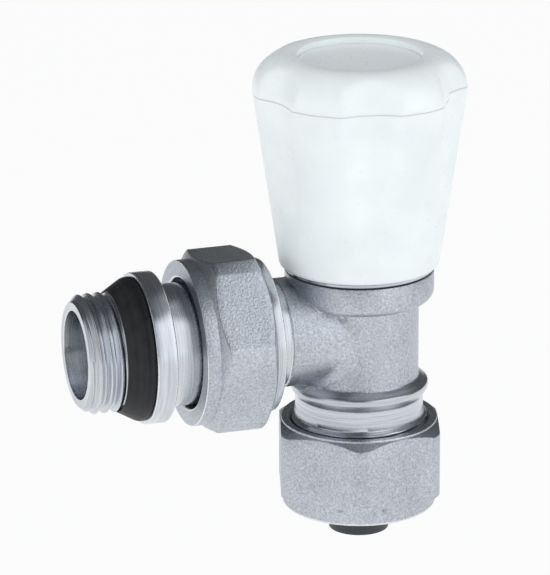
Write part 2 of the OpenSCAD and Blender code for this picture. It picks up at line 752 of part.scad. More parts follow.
module union_nut() {
    thread_r = union_thread_d / 2 + fit;
    color(nickel) along_tail() difference() {
        union() {
            turned(union_collar_d / 2, union_x, union_hex_x + 1, bevel, 0);
            rotate([0, 0, union_turn])
                hexagon(union_af, union_corner_d, union_hex_x, union_rear_x, union_collar_d, union_collar_d);
        }
        taper(union_x - 1, union_rear_x, union_hole_d / 2, union_hole_d / 2);
        taper(union_wall_x, union_rear_x + 1, thread_r, thread_r);
        taper(union_rear_x - bevel, union_rear_x + hair, thread_r, thread_r + bevel);
    }
}

// Levels of the seal rings on the adaptor's barrel
barrel_ring_z = [for (i = [-0.5, 0.5])
    barrel_top - adaptor_barrel_l / 2 + i * barrel_ring_gap];
barrel_ring_r = barrel_d_pipe / 2 + fit - barrel_ring / 2;
nose_ring_z = nose_low + nose_l / 2;
nose_ring_r = socket_d / 2 - fit / 2 - nose_ring / 2;

module pipe_insert() {
    nose_r = socket_d / 2 - fit;
    barrel_r = barrel_d_pipe / 2;
    tip_r = adaptor_tip_d / 2;
    color(dark) on_stem() difference() {
        union() {
            turned(nose_r, nose_low, nose_top, 0, bevel);
            taper(adaptor_collar_top, nose_low + hair, nose_r + socket_chamfer, nose_r);
            turned(adaptor_collar_d / 2, stop_z, adaptor_collar_top, bevel, bevel);
            turned(washer_seat_d / 2, barrel_top - hair, stop_z + hair, 0, 0);
            taper(barrel_low, barrel_top, barrel_r, barrel_r);
            taper(tip_low, barrel_low + hair, tip_r, tip_r);
        }
        taper(tip_low - 1, nose_top + 1, adaptor_bore_d / 2, adaptor_bore_d / 2);
        for (z = barrel_ring_z)
            ring_groove(barrel_ring_r - barrel_ring / 2, barrel_ring, z);
        ring_groove(nose_ring_r - nose_ring / 2, nose_ring, nose_ring_z);
    }
}

module nose_o_ring() {
    color(rubber) on_stem() wire_ring(nose_ring_r, nose_ring, nose_ring_z);
}

module insert_o_rings() {
    color(rubber) on_stem() for (z = barrel_ring_z)
        wire_ring(barrel_ring_r, barrel_ring, z);
}

module insulating_washer() {
    color(white) on_stem()
        tube(washer_seat_d / 2 + fit, pipe_d / 2, barrel_top, stop_z);
}

// Radius by which the split ring's cone narrows towards its lower end
cone_run = (ring_h - ring_straight) * tan(ring_cone_deg);

module split_ring() {
    outer_r = ring_d / 2;
    color(brass) on_stem() difference() {
        rotate_extrude() polygon([
            [pipe_d / 2 + fit, ring_low], [outer_r - cone_run, ring_low],
            [outer_r, ring_low + ring_h - ring_straight], [outer_r, -ring_top],
            [pipe_d / 2 + fit, -ring_top]
        ]);
        rotate([0, 0, nut_turn]) translate([0, -ring_slit / 2, ring_low - 1])
            cube([ring_d, ring_slit, ring_h + 2]);
    }
}

module compression_nut() {
    thread_r = pipe_thread_d / 2 + fit;
    cone_r0 = ring_d / 2 + gap;
    cone_top = ring_low + ring_h - ring_straight;
    hex_top = -nut_top - nut_top_h;
    hole_r = pipe_d / 2 + gap;
    cone_low = cone_top - (cone_r0 - hole_r) / tan(ring_cone_deg);
    color(nickel) on_stem() difference() {
        union() {
            turned(nut_top_d / 2, hex_top - hair, -nut_top, 0, fine_bevel);
            rotate([0, 0, nut_turn])
                hexagon(nut_af, nut_corner_d, nut_hex_low, hex_top, 0, nut_top_d);
            turned(nut_band_d / 2, nut_low, nut_hex_low + hair, bevel, 0);
        }
        taper(nut_low - 1, -nut_top, hole_r, hole_r);
        taper(cone_low, cone_top, hole_r, cone_r0);
        taper(cone_top - hair, -nut_top, cone_r0, cone_r0);
        taper(adaptor_collar_top - adaptor_collar_h - gap, 1 - nut_top, thread_r, thread_r);
        taper(-nut_top - nut_mouth, hair - nut_top, thread_r, thread_r + nut_mouth);
    }
}

valve_body();
bonnet();
bonnet_gasket();
spindle();
spindle_o_rings();
disc_holder();
disc_snap_ring();
seat_washer();
disc_screw();
handwheel();
handwheel_cap();
handwheel_screw();
tailpiece();
tail_gasket();
tail_o_ring();
tail_snap_ring();
union_nut();
pipe_insert();
nose_o_ring();
insert_o_rings();
insulating_washer();
split_ring();
compression_nut();
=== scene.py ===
"""Looks of the angled radiator valve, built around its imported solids."""

import logging
import math
from collections.abc import Callable, Iterable, Sequence
from dataclasses import dataclass, field
from enum import Enum

import bmesh
import bpy
from mathutils import Matrix, Vector


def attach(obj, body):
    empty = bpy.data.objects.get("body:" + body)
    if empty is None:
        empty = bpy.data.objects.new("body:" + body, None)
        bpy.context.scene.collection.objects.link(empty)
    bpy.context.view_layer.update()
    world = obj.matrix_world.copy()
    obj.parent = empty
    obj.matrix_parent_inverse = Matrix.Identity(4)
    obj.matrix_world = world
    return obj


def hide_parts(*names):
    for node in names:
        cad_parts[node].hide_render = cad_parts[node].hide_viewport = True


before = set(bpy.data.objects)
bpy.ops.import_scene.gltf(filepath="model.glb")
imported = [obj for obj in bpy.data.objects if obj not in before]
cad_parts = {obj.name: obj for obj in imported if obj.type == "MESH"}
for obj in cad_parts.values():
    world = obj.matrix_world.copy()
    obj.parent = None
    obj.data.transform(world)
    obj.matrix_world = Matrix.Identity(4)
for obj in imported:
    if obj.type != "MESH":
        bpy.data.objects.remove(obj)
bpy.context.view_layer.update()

logging.basicConfig(level=logging.INFO, format="%(message)s")
log = logging.getLogger("valve")

MM = 0.001
STEM_X = 45.4


class Axis(Enum):
    """Axis that a turned piece is spun about."""

    TAIL = "tail"
    STEM = "stem"

    @property
    def centre(self) -> Vector:
        """Point on the axis, in millimetres."""
        return Vector((STEM_X if self is Axis.STEM else 0.0, 0.0, 0.0))

    @property
    def direction(self) -> Vector:
        """Direction of growing stations."""
        return Vector((0, 0, 1)) if self is Axis.STEM else Vector((1, 0, 0))

    def point(self, radius: float, station: float, angle: float = 0.0) -> Vector:
        """Place of a point given round the axis.

        Args:
            radius: Distance from the axis, in millimetres.
            station: Place along the axis, in millimetres.
            angle: Turn about the axis, in radians.

        Returns:
            The point in the part's frame, in millimetres.
        """
        side, rise = radius * math.cos(angle), radius * math.sin(angle)
        if self is Axis.STEM:
            return Vector((STEM_X + side, rise, station))
        return Vector((station, side, rise))

    def polar(self, co: Vector) -> tuple[float, float, float]:
        """Radius, angle and station of a point.

        Args:
            co: Point in millimetres.

        Returns:
            Radius, angle in radians and station.
        """
        if self is Axis.STEM:
            side, rise, station = co.x - STEM_X, co.y, co.z
        else:
            side, rise, station = co.y, co.z, co.x
        return math.hypot(side, rise), math.atan2(rise, side), station


@dataclass(frozen=True)
class Corner:
    """Corner of a turned profile.

    Attributes:
        radius: Distance from the axis, in millimetres.
        station: Place along the axis, in millimetres.
        width: Width of its rounding, 0 for none.
        cuts: Extra rows between this corner and the next.
    """

    radius: float
    station: float
    width: float = 0.0
    cuts: int = 0


def arc(centre_r: float, centre_s: float, radius: float, low: float, high: float, steps: int) -> list[Corner]:
    """Corners along an arc of a profile.

    Args:
        centre_r: Radius of the arc's centre.
        centre_s: Station of the arc's centre.
        radius: Radius of the arc.
        low: First angle in degrees, where 0 points outwards and 90 along the axis.
        high: Last angle in degrees.
        steps: Number of stretches.

    Returns:
        The corners from the first to the last angle.
    """
    angles = [math.radians(low + (high - low) * i / steps) for i in range(steps + 1)]
    return [Corner(centre_r + radius * math.cos(a), centre_s + radius * math.sin(a)) for a in angles]


def soft_min(a: float, b: float, reach: float) -> float:
    """Smaller of two values, blended where they lie within reach of each other."""
    share = min(1.0, max(0.0, 0.5 + 0.5 * (b - a) / reach))
    return b + (a - b) * share - reach * share * (1.0 - share)


def smooth_step(low: float, high: float, value: float) -> float:
    """Smooth rise from 0 at low to 1 at high."""
    share = min(1.0, max(0.0, (value - low) / (high - low)))
    return share * share * (3.0 - 2.0 * share)


@dataclass
class Turning:
    """Profile that is spun about an axis.

    Attributes:
        axis: Axis of the piece.
        profile: Corners in order.
        closed: Whether the last corner joins the first.
        segments: Number of columns round the axis.
        turn_deg: Angle of the first column.
        wear_and_highlight: Whether rounded edges take the second material, as rubbed edges do, whose lighter colour
            also paints in the edges' highlight.
    """

    axis: Axis
    profile: Sequence[Corner]
    closed: bool = True
    segments: int = 144
    turn_deg: float = 0.0
    wear_and_highlight: bool = False

    def spin(self) -> bmesh.types.BMesh:
        """Spins the profile a full turn.

        Returns:
            The turned mesh, in millimetres, with its edges still sharp.
        """
        bm = bmesh.new()
        start = math.radians(self.turn_deg)
        verts = [bm.verts.new(self.axis.point(c.radius, c.station, start)) for c in self.profile]
        ends = verts[1:] + (verts[:1] if self.closed else [])
        edges = [bm.edges.new(pair) for pair in zip(verts, ends)]
        for corner, edge in zip(self.profile, edges):
            if corner.cuts:
                bmesh.ops.subdivide_edges(bm, edges=[edge], cuts=corner.cuts)
        bmesh.ops.spin(
            bm,
            geom=bm.verts[:] + bm.edges[:],
            cent=self.axis.centre,
            axis=self.axis.direction,
            dvec=(0, 0, 0),
            angle=math.tau,
            steps=self.segments,
            use_merge=True,
        )
        bmesh.ops.remove_doubles(bm, verts=bm.verts, dist=1e-4)
        bmesh.ops.recalc_face_normals(bm, faces=bm.faces)
        return bm

    def round_edges(self, bm: bmesh.types.BMesh) -> None:
        """Rounds each ring of edges whose corner has a width.

        Args:
            bm: The spun mesh.
        """
        widths = {(round(c.radius, 2), round(c.station, 2)): c.width for c in self.profile if c.width}
        groups: dict[float, list[bmesh.types.BMEdge]] = {}
        for edge in bm.edges:
            keys = [tuple(round(x, 2) for x in self.axis.polar(v.co)[::2]) for v in edge.verts]
            if keys[0] == keys[1] and keys[0] in widths:
                groups.setdefault(widths[keys[0]], []).append(edge)
        for width, edges in groups.items():
            round_off(bm, edges, width, 6 if width > 1 else 3, self.wear_and_highlight and width < 0.5)

    def build(self) -> bmesh.types.BMesh:
        """Spins the profile and rounds its edges.

        Returns:
            The finished mesh, in millimetres.
        """
        bm = self.spin()
        self.round_edges(bm)
        return bm


def round_off(bm: bmesh.types.BMesh, edges: Iterable[bmesh.types.BMEdge], width: float, segments: int, wear_and_highlight: bool) -> None:
    """Rounds edges.

    Args:
        bm: The mesh.
        edges: Edges to round.
        width: Width of the rounding, in millimetres.
        segments: Number of stretches across it.
        wear_and_highlight: Whether the new faces take the second material, the rubbed edge with its painted
            highlight.
    """
    made = bmesh.ops.bevel(
        bm,
        geom=list(edges),
        offset=width,
        offset_type="OFFSET",
        segments=segments,
        profile=0.5,
        affect="EDGES",
        clamp_overlap=True,
        material=-1,
    )
    # The bevel faces take the rubbed-edge material: partly wear, partly a painted highlight.
    if wear_and_highlight:
        for face in made["faces"]:
            face.material_index = 1


@dataclass(frozen=True)
class Thread:
    """Right-hand outer thread.

    Attributes:
        axis: Axis of the thread.
        low: First station.
        high: Last station.
        crest_r: Radius of the crests.
        depth: Depth of the thread.
        pitch: Way along the axis for one turn.
        envelope: Largest radius at a station, for chamfers and run-outs.
        floor_r: Radius under which nothing is moved.
    """

    axis: Axis
    low: float
    high: float
    crest_r: float
    depth: float
    pitch: float
    envelope: Callable[[float], float]
    floor_r: float

    def radius(self, angle: float, station: float) -> float:
        """Radius of the threaded surface at a place."""
        phase = math.tau * station / self.pitch - angle
        hollow = (0.5 - 0.5 * math.cos(phase)) ** 0.8
        return soft_min(self.crest_r - self.depth * hollow, self.envelope(station), 0.12)

    def cut(self, bm: bmesh.types.BMesh) -> None:
        """Moves the outer surface onto the thread.

        Args:
            bm: The turned mesh.
        """
        for vert in bm.verts:
            radius, angle, station = self.axis.polar(vert.co)
            if radius > self.floor_r and self.low < station < self.high:
                vert.co = self.axis.point(self.radius(angle, station), station, angle)


@dataclass
class Sketch:
    """Node tree of one material, with short calls for the nodes used here.

    Attributes:
        name: Name of the material.
    """

    name: str

    def __post_init__(self) -> None:
        """Starts the tree with its shader, its output and object coordinates."""
        self.material = bpy.data.materials.new(self.name)
        self.material.use_nodes = True
        self.tree = self.material.node_tree
        self.tree.nodes.clear()
        output = self.tree.nodes.new("ShaderNodeOutputMaterial")
        self.shader = self.tree.nodes.new("ShaderNodeBsdfPrincipled")
        self.link(self.shader.outputs["BSDF"], output.inputs["Surface"])
        self.place = self.tree.nodes.new("ShaderNodeTexCoord").outputs["Object"]

    def link(self, source: bpy.types.NodeSocket, target: bpy.types.NodeSocket) -> None:
        """Joins two sockets."""
        self.tree.links.new(source, target)

    def put(self, **values: float | tuple[float, ...]) -> None:
        """Sets sockets of the shader, written with _ for blanks."""
        for key, value in values.items():
            self.shader.inputs[key.replace("_", " ")].default_value = value

    def math(self, operation: str, *operands: bpy.types.NodeSocket | float) -> bpy.types.NodeSocket:
        """Adds a math node.

        Args:
            operation: Name of the operation.
            operands: Sockets or numbers.

        Returns:
            The value socket.
        """
        node = self.tree.nodes.new("ShaderNodeMath")
        node.operation = operation
        for slot, operand in zip(node.inputs, operands):
            if isinstance(operand, (int, float)):
                slot.default_value = operand
            else:
                self.link(operand, slot)
        return node.outputs[0]

    def stretch(self, along: Axis | None, factor: float = 1.0) -> bpy.types.NodeSocket:
        """Object coordinates, kept only along an axis if one is given.

        Args:
            along: Axis whose stations stay, or None for all coordinates.
            factor: Scale of the other coordinates.

        Returns:
            The vector socket.
        """
        if along is None:
            return self.place
        node = self.tree.nodes.new("ShaderNodeMapping")
        scale = (factor, factor, 1.0) if along is Axis.STEM else (1.0, factor, factor)
        node.inputs["Scale"].default_value = scale
        self.link(self.place, node.inputs["Vector"])
        return node.outputs["Vector"]

    def noise(self, size: float, detail: float = 2.0, vector: bpy.types.NodeSocket | None = None) -> bpy.types.NodeSocket:
        """Adds a noise texture.

        Args:
            size: Size of its features, in millimetres.
            detail: Number of finer layers.
            vector: Coordinates, or None for object coordinates.

        Returns:
            The value socket, about 0.5 on average.
        """
        node = self.tree.nodes.new("ShaderNodeTexNoise")
        node.inputs["Scale"].default_value = 1.0 / (size * MM)
        node.inputs["Detail"].default_value = detail
        self.link(vector or self.place, node.inputs["Vector"])
        return node.outputs["Fac"]

    def span(self, value: bpy.types.NodeSocket, low: float, high: float, to_low: float, to_high: float) -> bpy.types.NodeSocket:
        """Maps a value from one range to another, held at its ends.

        Args:
            value: The value.
            low: Start of its range.
            high: End of its range.
            to_low: Result at the start.
            to_high: Result at the end.

        Returns:
            The mapped value socket.
        """
        node = self.tree.nodes.new("ShaderNodeMapRange")
        for name, number in zip(("From Min", "From Max", "To Min", "To Max"), (low, high, to_low, to_high)):
            node.inputs[name].default_value = number
        self.link(value, node.inputs["Value"])
        return node.outputs["Result"]

    def blend(self, share: bpy.types.NodeSocket, first: tuple[float, ...], second: tuple[float, ...]) -> bpy.types.NodeSocket:
        """Mixes two colours.

        Args:
            share: Share of the second colour.
            first: First colour.
            second: Second colour.

        Returns:
            The colour socket.
        """
        node = self.tree.nodes.new("ShaderNodeMix")
        node.data_type = "RGBA"
        node.inputs[6].default_value = (*first, 1.0)
        node.inputs[7].default_value = (*second, 1.0)
        self.link(share, node.inputs[0])
        return node.outputs[2]

    def bump(self, height: bpy.types.NodeSocket, depth: float, under: bpy.types.NodeSocket | None = None) -> bpy.types.NodeSocket:
        """Adds a bump.

        Args:
            height: Height from 0 to 1.
            depth: Depth of the relief, in millimetres.
            under: Normal of a bump below it.

        Returns:
            The normal socket.
        """
        node = self.tree.nodes.new("ShaderNodeBump")
        node.inputs["Strength"].default_value = 1.0
        node.inputs["Distance"].default_value = depth * MM
        self.link(height, node.inputs["Height"])
        if under is not None:
            self.link(under, node.inputs["Normal"])
        return node.outputs["Normal"]


@dataclass(frozen=True)
class BlastedNickel:
    """Nickel-plated forging with a blasted grain.

    Attributes:
        name: Name of the material.
        slot: Material slot in the record; not used.
        light: Colour of the grain's tops.
        dark: Colour between the grains.
        grain: Size of the grains, in millimetres.
        depth: Depth of the grain, in millimetres.
        roughness: Mean roughness.
    """

    name: str = "blasted_nickel"
    slot: str = "plated_brass"
    light: tuple[float, float, float] = (0.70, 0.73, 0.78)
    dark: tuple[float, float, float] = (0.36, 0.385, 0.44)
    grain: float = 0.36
    depth: float = 0.07
    roughness: float = 0.36

    def make(self) -> bpy.types.Material:
        """Builds the material."""
        sketch = Sketch(self.name)
        coarse = sketch.noise(self.grain, 3.0)
        fine = sketch.noise(self.grain / 3.0, 2.0)
        cloud = sketch.noise(14.0, 3.0)
        height = sketch.math("ADD", coarse, sketch.math("MULTIPLY", fine, 0.35))
        tone = sketch.math("ADD", coarse, sketch.math("MULTIPLY", cloud, 0.4))
        share = sketch.span(tone, 0.45, 0.95, 0.0, 1.0)
        sketch.link(sketch.blend(share, self.dark, self.light), sketch.shader.inputs["Base Color"])
        rough = sketch.span(fine, 0.3, 0.7, self.roughness - 0.05, self.roughness + 0.07)
        sketch.link(rough, sketch.shader.inputs["Roughness"])
        sketch.link(sketch.bump(height, self.depth), sketch.shader.inputs["Normal"])
        sketch.put(Metallic=1.0)
        return sketch.material


@dataclass(frozen=True)
class TurnedMetal:
    """Turned metal with fine tool lines round its axis.

    Attributes:
        name: Name of the material.
        slot: Material slot in the record; not used.
        axis: Axis that the piece was turned on.
        light: Colour of the bright lines.
        dark: Colour of the dull lines.
        roughness: Mean roughness.
        depth: Depth of the tool lines, in millimetres.
    """

    name: str
    slot: str
    axis: Axis
    light: tuple[float, float, float]
    dark: tuple[float, float, float]
    roughness: float = 0.24
    depth: float = 0.004

    def make(self) -> bpy.types.Material:
        """Builds the material."""
        sketch = Sketch(self.name)
        rings = sketch.noise(0.16, 3.0, sketch.stretch(self.axis, 0.02))
        bands = sketch.noise(0.9, 2.0, sketch.stretch(self.axis, 0.05))
        cloud = sketch.noise(6.0, 2.0)
        tone = sketch.math("ADD", sketch.math("MULTIPLY", rings, 0.6), sketch.math("MULTIPLY", bands, 0.4))
        share = sketch.span(tone, 0.35, 0.65, 0.0, 1.0)
        sketch.link(sketch.blend(share, self.dark, self.light), sketch.shader.inputs["Base Color"])
        rough = sketch.span(sketch.math("ADD", rings, cloud), 0.7, 1.3, self.roughness - 0.05, self.roughness + 0.07)
        sketch.link(rough, sketch.shader.inputs["Roughness"])
        sketch.link(sketch.bump(rings, self.depth), sketch.shader.inputs["Normal"])
        sketch.put(Metallic=1.0)
        return sketch.material


@dataclass(frozen=True)
class RubbedEdgeAndHighlight:
    """Bright metal of rubbed edges, whose lighter colour also paints in the highlight that rounded edges catch."""

    name: str = "rubbed_edge_and_highlight"
    slot: str = "plated_brass"

    def make(self) -> bpy.types.Material:
        """Builds the material."""
        sketch = Sketch(self.name)
        marks = sketch.noise(0.5, 3.0)
        share = sketch.span(marks, 0.35, 0.65, 0.0, 1.0)
        # Rubbed edges: lighter than the blasted nickel, as wear and as a painted highlight on the rounded edges.
        sketch.link(sketch.blend(share, (0.70, 0.72, 0.76), (0.86, 0.87, 0.89)), sketch.shader.inputs["Base Color"])
        sketch.link(sketch.span(marks, 0.3, 0.7, 0.2, 0.34), sketch.shader.inputs["Roughness"])
        sketch.link(sketch.bump(marks, 0.008), sketch.shader.inputs["Normal"])
        sketch.put(Metallic=1.0)
        return sketch.material


@dataclass(frozen=True)
class MouldedPlastic:
    """Moulded plastic with a faint orange-peel skin.

    Attributes:
        name: Name of the material.
        slot: Material slot in the record; not used.
        light: Main colour.
        dark: Colour of the faint clouds, and the painted shade along the seam's groove.
        roughness: Mean roughness.
        seam_z: Level of the mould's seam, in millimetres, or None for no seam.
    """

    name: str
    slot: str
    light: tuple[float, float, float]
    dark: tuple[float, float, float]
    roughness: float = 0.34
    seam_z: float | None = None

    def make(self) -> bpy.types.Material:
        """Builds the material."""
        sketch = Sketch(self.name)
        cloud = sketch.noise(9.0, 2.0)
        skin = sketch.noise(0.6, 2.0)
        share = sketch.span(cloud, 0.3, 0.7, 0.0, 1.0)
        normal = sketch.bump(skin, 0.004)
        if self.seam_z is not None:
            # The seam is bumped in as a groove and painted darker: painted shade in the groove.
            groove = self.seam(sketch)
            share = sketch.math("MAXIMUM", sketch.math("MULTIPLY", share, 0.25), groove)
            normal = sketch.bump(sketch.math("SUBTRACT", 1.0, groove), 0.06, normal)
        sketch.link(sketch.blend(share, self.light, self.dark), sketch.shader.inputs["Base Color"])
        sketch.link(sketch.span(skin, 0.3, 0.7, self.roughness - 0.03, self.roughness + 0.05), sketch.shader.inputs["Roughness"])
        sketch.link(normal, sketch.shader.inputs["Normal"])
        sketch.put(IOR=1.47)
        return sketch.material

    def seam(self, sketch: Sketch) -> bpy.types.NodeSocket:
        """Share of the mould's seam, a fine line with a step in it, painted darker as painted shade in its groove.

        Args:
            sketch: The material's tree.

        Returns:
            The value socket, 1 on the seam.
        """
        split = sketch.tree.nodes.new("ShaderNodeSeparateXYZ")
        sketch.link(sketch.place, split.inputs[0])
        wobble = sketch.math("MULTIPLY", sketch.math("SUBTRACT", sketch.noise(5.0, 1.0), 0.5), 0.35 * MM)
        step = sketch.span(split.outputs["X"], (STEM_X + 11.8) * MM, (STEM_X + 12.1) * MM, 0.0, 1.1 * MM)
        level = sketch.math("ADD", sketch.math("ADD", step, wobble), self.seam_z * MM)
        away = sketch.math("ABSOLUTE", sketch.math("SUBTRACT", split.outputs["Z"], level))
        return sketch.span(away, 0.04 * MM, 0.16 * MM, 1.0, 0.0)


@dataclass(frozen=True)
class BlackRubber:
    """Black rubber with faint mould lines.

    Attributes:
        name: Name of the material.
        slot: Material slot in the record; not used.
    """

    name: str = "black_rubber"
    slot: str = "rubber"

    def make(self) -> bpy.types.Material:
        """Builds the material."""
        sketch = Sketch(self.name)
        dust = sketch.noise(1.6, 4.0)
        skin = sketch.noise(0.25, 2.0)
        rings = sketch.noise(0.7, 2.0, sketch.stretch(Axis.TAIL, 0.03))
        share = sketch.span(sketch.math("ADD", dust, rings), 0.7, 1.4, 0.0, 1.0)
        sketch.link(sketch.blend(share, (0.008, 0.008, 0.010), (0.022, 0.023, 0.026)), sketch.shader.inputs["Base Color"])
        sketch.link(sketch.span(dust, 0.3, 0.7, 0.42, 0.58), sketch.shader.inputs["Roughness"])
        height = sketch.math("ADD", skin, sketch.math("MULTIPLY", rings, 1.5))
        sketch.link(sketch.bump(height, 0.008), sketch.shader.inputs["Normal"])
        sketch.put(IOR=1.5, Specular_IOR_Level=0.3)
        return sketch.material


NICKEL_LIGHT, NICKEL_DARK = (0.74, 0.77, 0.81), (0.48, 0.50, 0.55)
BRASS_LIGHT, BRASS_DARK = (0.83, 0.66, 0.34), (0.68, 0.50, 0.22)


class Finishes:
    """All finishes, each made once."""

    blasted = BlastedNickel()
    tail_nickel = TurnedMetal("turned_nickel_tail", "satin_brass", Axis.TAIL, NICKEL_LIGHT, NICKEL_DARK)
    stem_nickel = TurnedMetal("turned_nickel_stem", "plated_brass", Axis.STEM, NICKEL_LIGHT, NICKEL_DARK)
    flange_nickel = TurnedMetal("turned_nickel_flange", "satin_brass", Axis.STEM, NICKEL_LIGHT, NICKEL_DARK, 0.18)
    stem_brass = TurnedMetal("turned_brass_stem", "turned_brass", Axis.STEM, BRASS_LIGHT, BRASS_DARK, 0.28)
    steel = TurnedMetal("bright_steel", "steel", Axis.STEM, (0.66, 0.67, 0.69), (0.5, 0.51, 0.53), 0.3)
    # Rubbed edges: real wear, whose lighter colour also paints in the edges' highlight.
    edge = RubbedEdgeAndHighlight()
    white = MouldedPlastic("white_plastic", "white_plastic", (0.88, 0.93, 0.935), (0.60, 0.65, 0.66), 0.3, 42.6)
    cap = MouldedPlastic("white_cap", "white_plastic", (0.85, 0.89, 0.90), (0.81, 0.855, 0.87), 0.3)
    pale = MouldedPlastic("pale_plastic", "pale_plastic", (0.74, 0.74, 0.71), (0.66, 0.66, 0.63), 0.45)
    dark = MouldedPlastic("dark_plastic", "grey_plastic", (0.045, 0.05, 0.06), (0.03, 0.034, 0.042), 0.4)
    fibre = MouldedPlastic("gasket_fibre", "fibre", (0.02, 0.02, 0.023), (0.012, 0.012, 0.014), 0.7)
    rubber = BlackRubber()
    _made: dict[str, bpy.types.Material] = {}

    @classmethod
    def material(cls, finish: "Finish") -> bpy.types.Material:
        """Material of a finish, built on first use."""
        if finish.name not in cls._made:
            cls._made[finish.name] = finish.make()
        return cls._made[finish.name]


Finish = BlastedNickel | TurnedMetal | RubbedEdgeAndHighlight | MouldedPlastic | BlackRubber


def hand_over(name: str, bm: bmesh.types.BMesh, body: str, node: str, finishes: Sequence[Finish], sharp_deg: float = 30.0) -> bpy.types.Object:
    """Turns a finished mesh into a piece that stands for a solid.

    Args:
        name: Name of the piece.
        bm: Mesh in millimetres; it is freed.
        body: Body that the piece rides on.
        node: Solid that the piece replaces.
        finishes: Finishes in the order of the material slots.
        sharp_deg: Angle above which an edge is shaded sharp.

    Returns:
        The new object.
    """
    bmesh.ops.recalc_face_normals(bm, faces=bm.faces)
    bmesh.ops.transform(bm, matrix=Matrix.Scale(MM, 4), verts=bm.verts)
    mesh = bpy.data.meshes.new(name)
    bm.to_mesh(mesh)
    bm.free()
    mesh.shade_smooth()
    mesh.set_sharp_from_angle(angle=math.radians(sharp_deg))
    piece = bpy.data.objects.new(name, mesh)
    bpy.context.scene.collection.objects.link(piece)
    for finish in finishes:
        mesh.materials.append(Finishes.material(finish))
    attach(piece, body)
    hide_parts(node)
    log.info("piece %s: %d faces, rides on %s", name, len(mesh.polygons), body)
    return piece


def dress(node: str, finish: Finish) -> None:
    """Gives a solid that stays its material.

    Args:
        node: Name of the solid.
        finish: Its finish.
    """
    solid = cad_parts[node]
    solid.data.materials.clear()
    solid.data.materials.append(Finishes.material(finish))
    log.info("solid %s: %s", node, finish.name)


@dataclass
class HexShape:
    """Hexagon that a round blank is pressed into.

    Attributes:
        axis: Axis of the nut.
        af: Size across the flats.
        corner_d: Diameter across the worn corners.
        corner_deg: Angle of a corner about the axis.
        chamfer_deg: Angle of the chamfers.
    """

    axis: Axis
    af: float
    corner_d: float
    corner_deg: float
    chamfer_deg: float = 30.0

    def flat_radius(self, angle: float) -> float:
        """Radius of the worn hexagon at an angle."""
        off = (math.degrees(angle) - self.corner_deg + 30.0) % 60.0 - 30.0
        flat = self.af / 2 / math.cos(math.radians(30.0 - abs(off)))
        return min(flat, self.corner_d / 2)

    def rise(self, angle: float, end_r: float) -> float:
        """Way along the axis that the chamfer takes from its end circle to the hexagon."""
        return (self.flat_radius(angle) - end_r) * math.tan(math.radians(self.chamfer_deg))

    @property
    def worn_deg(self) -> float:
        """Half the angle of the worn strip at a corner."""
        return 30.0 - math.degrees(math.acos(self.af / self.corner_d))

    def snap(self, angle: float, step_deg: float) -> float:
        """Moves a column onto the edge of the worn strip if it is the nearest one."""
        off = (math.degrees(angle) - self.corner_deg + 30.0) % 60.0 - 30.0
        nearest = round(self.worn_deg / step_deg) * step_deg
        if abs(abs(off) - nearest) < 0.01:
            return angle + math.radians(math.copysign(self.worn_deg - nearest, off))
        return angle


@dataclass
class UnionNut:
    """Union nut with a round collar in front of its hexagon."""

    shape: HexShape = field(default_factory=lambda: HexShape(Axis.TAIL, 30.0, 33.0, 173.5))
    front: float = 13.0
    hex_front: float = 15.4
    rear: float = 25.7
    collar_r: float = 14.5
    hole_r: float = 11.47
    thread_r: float = 13.27
    wall: float = 15.2

    def build(self) -> bpy.types.Object:
        """Builds the nut."""
        turning = Turning(
            Axis.TAIL,
            [
                Corner(self.hole_r, self.front, 0.35),
                Corner(self.collar_r, self.front, 0.16),
                Corner(self.collar_r, self.hex_front),
                Corner(self.collar_r + 0.8, self.hex_front + 0.46, cuts=6),
                Corner(self.collar_r + 0.8, self.rear - 0.46),
                Corner(self.collar_r, self.rear, 0.12),
                Corner(self.thread_r + 0.3, self.rear),
                Corner(self.thread_r, self.rear - 0.3),
                Corner(self.thread_r, self.wall),
                Corner(self.hole_r, self.wall),
            ],
            segments=144,
            turn_deg=self.shape.corner_deg,
            wear_and_highlight=True,
        )
        bm = turning.spin()
        self.press(bm)
        turning.round_edges(bm)
        sharpen(bm, self.shape, self.collar_r + 0.2, 0.2)
        return hand_over("union_nut_worn", bm, "union_nut", "union_nut", [Finishes.blasted, Finishes.edge])

    def press(self, bm: bmesh.types.BMesh) -> None:
        """Presses the hexagon into the spun blank.

        Args:
            bm: The spun blank.
        """
        front, rear = self.hex_front, self.rear
        low, high = front + 0.46, rear - 0.46
        for vert in bm.verts:
            radius, angle, station = Axis.TAIL.polar(vert.co)
            angle = self.shape.snap(angle, 2.5)
            if abs(radius - self.collar_r - 0.8) < 0.01:
                rise = self.shape.rise(angle, self.collar_r)
                share = (station - low) / (high - low)
                station = front + rise + share * (rear - front - 2 * rise)
                radius = self.shape.flat_radius(angle)
            vert.co = Axis.TAIL.point(radius, station, angle)


def sharpen(bm: bmesh.types.BMesh, shape: HexShape, above_r: float, width: float) -> None:
    """Rounds the edges of a pressed hexagon.

    Args:
        bm: The pressed nut.
        shape: Its hexagon.
        above_r: Radius above which edges belong to the hexagon.
        width: Width of the rounding.
    """
    edges = []
    for edge in bm.edges:
        ends = [shape.axis.polar(v.co) for v in edge.verts]
        lengthwise = abs(ends[0][2] - ends[1][2]) > 0.3
        if len(edge.link_faces) != 2 or edge.calc_face_angle(0.0) < math.radians(14.0 if lengthwise else 40.0):
            continue
        if min(radius for radius, _, _ in ends) > above_r:
            edges.append(edge)
    round_off(bm, edges, width, 3, False)


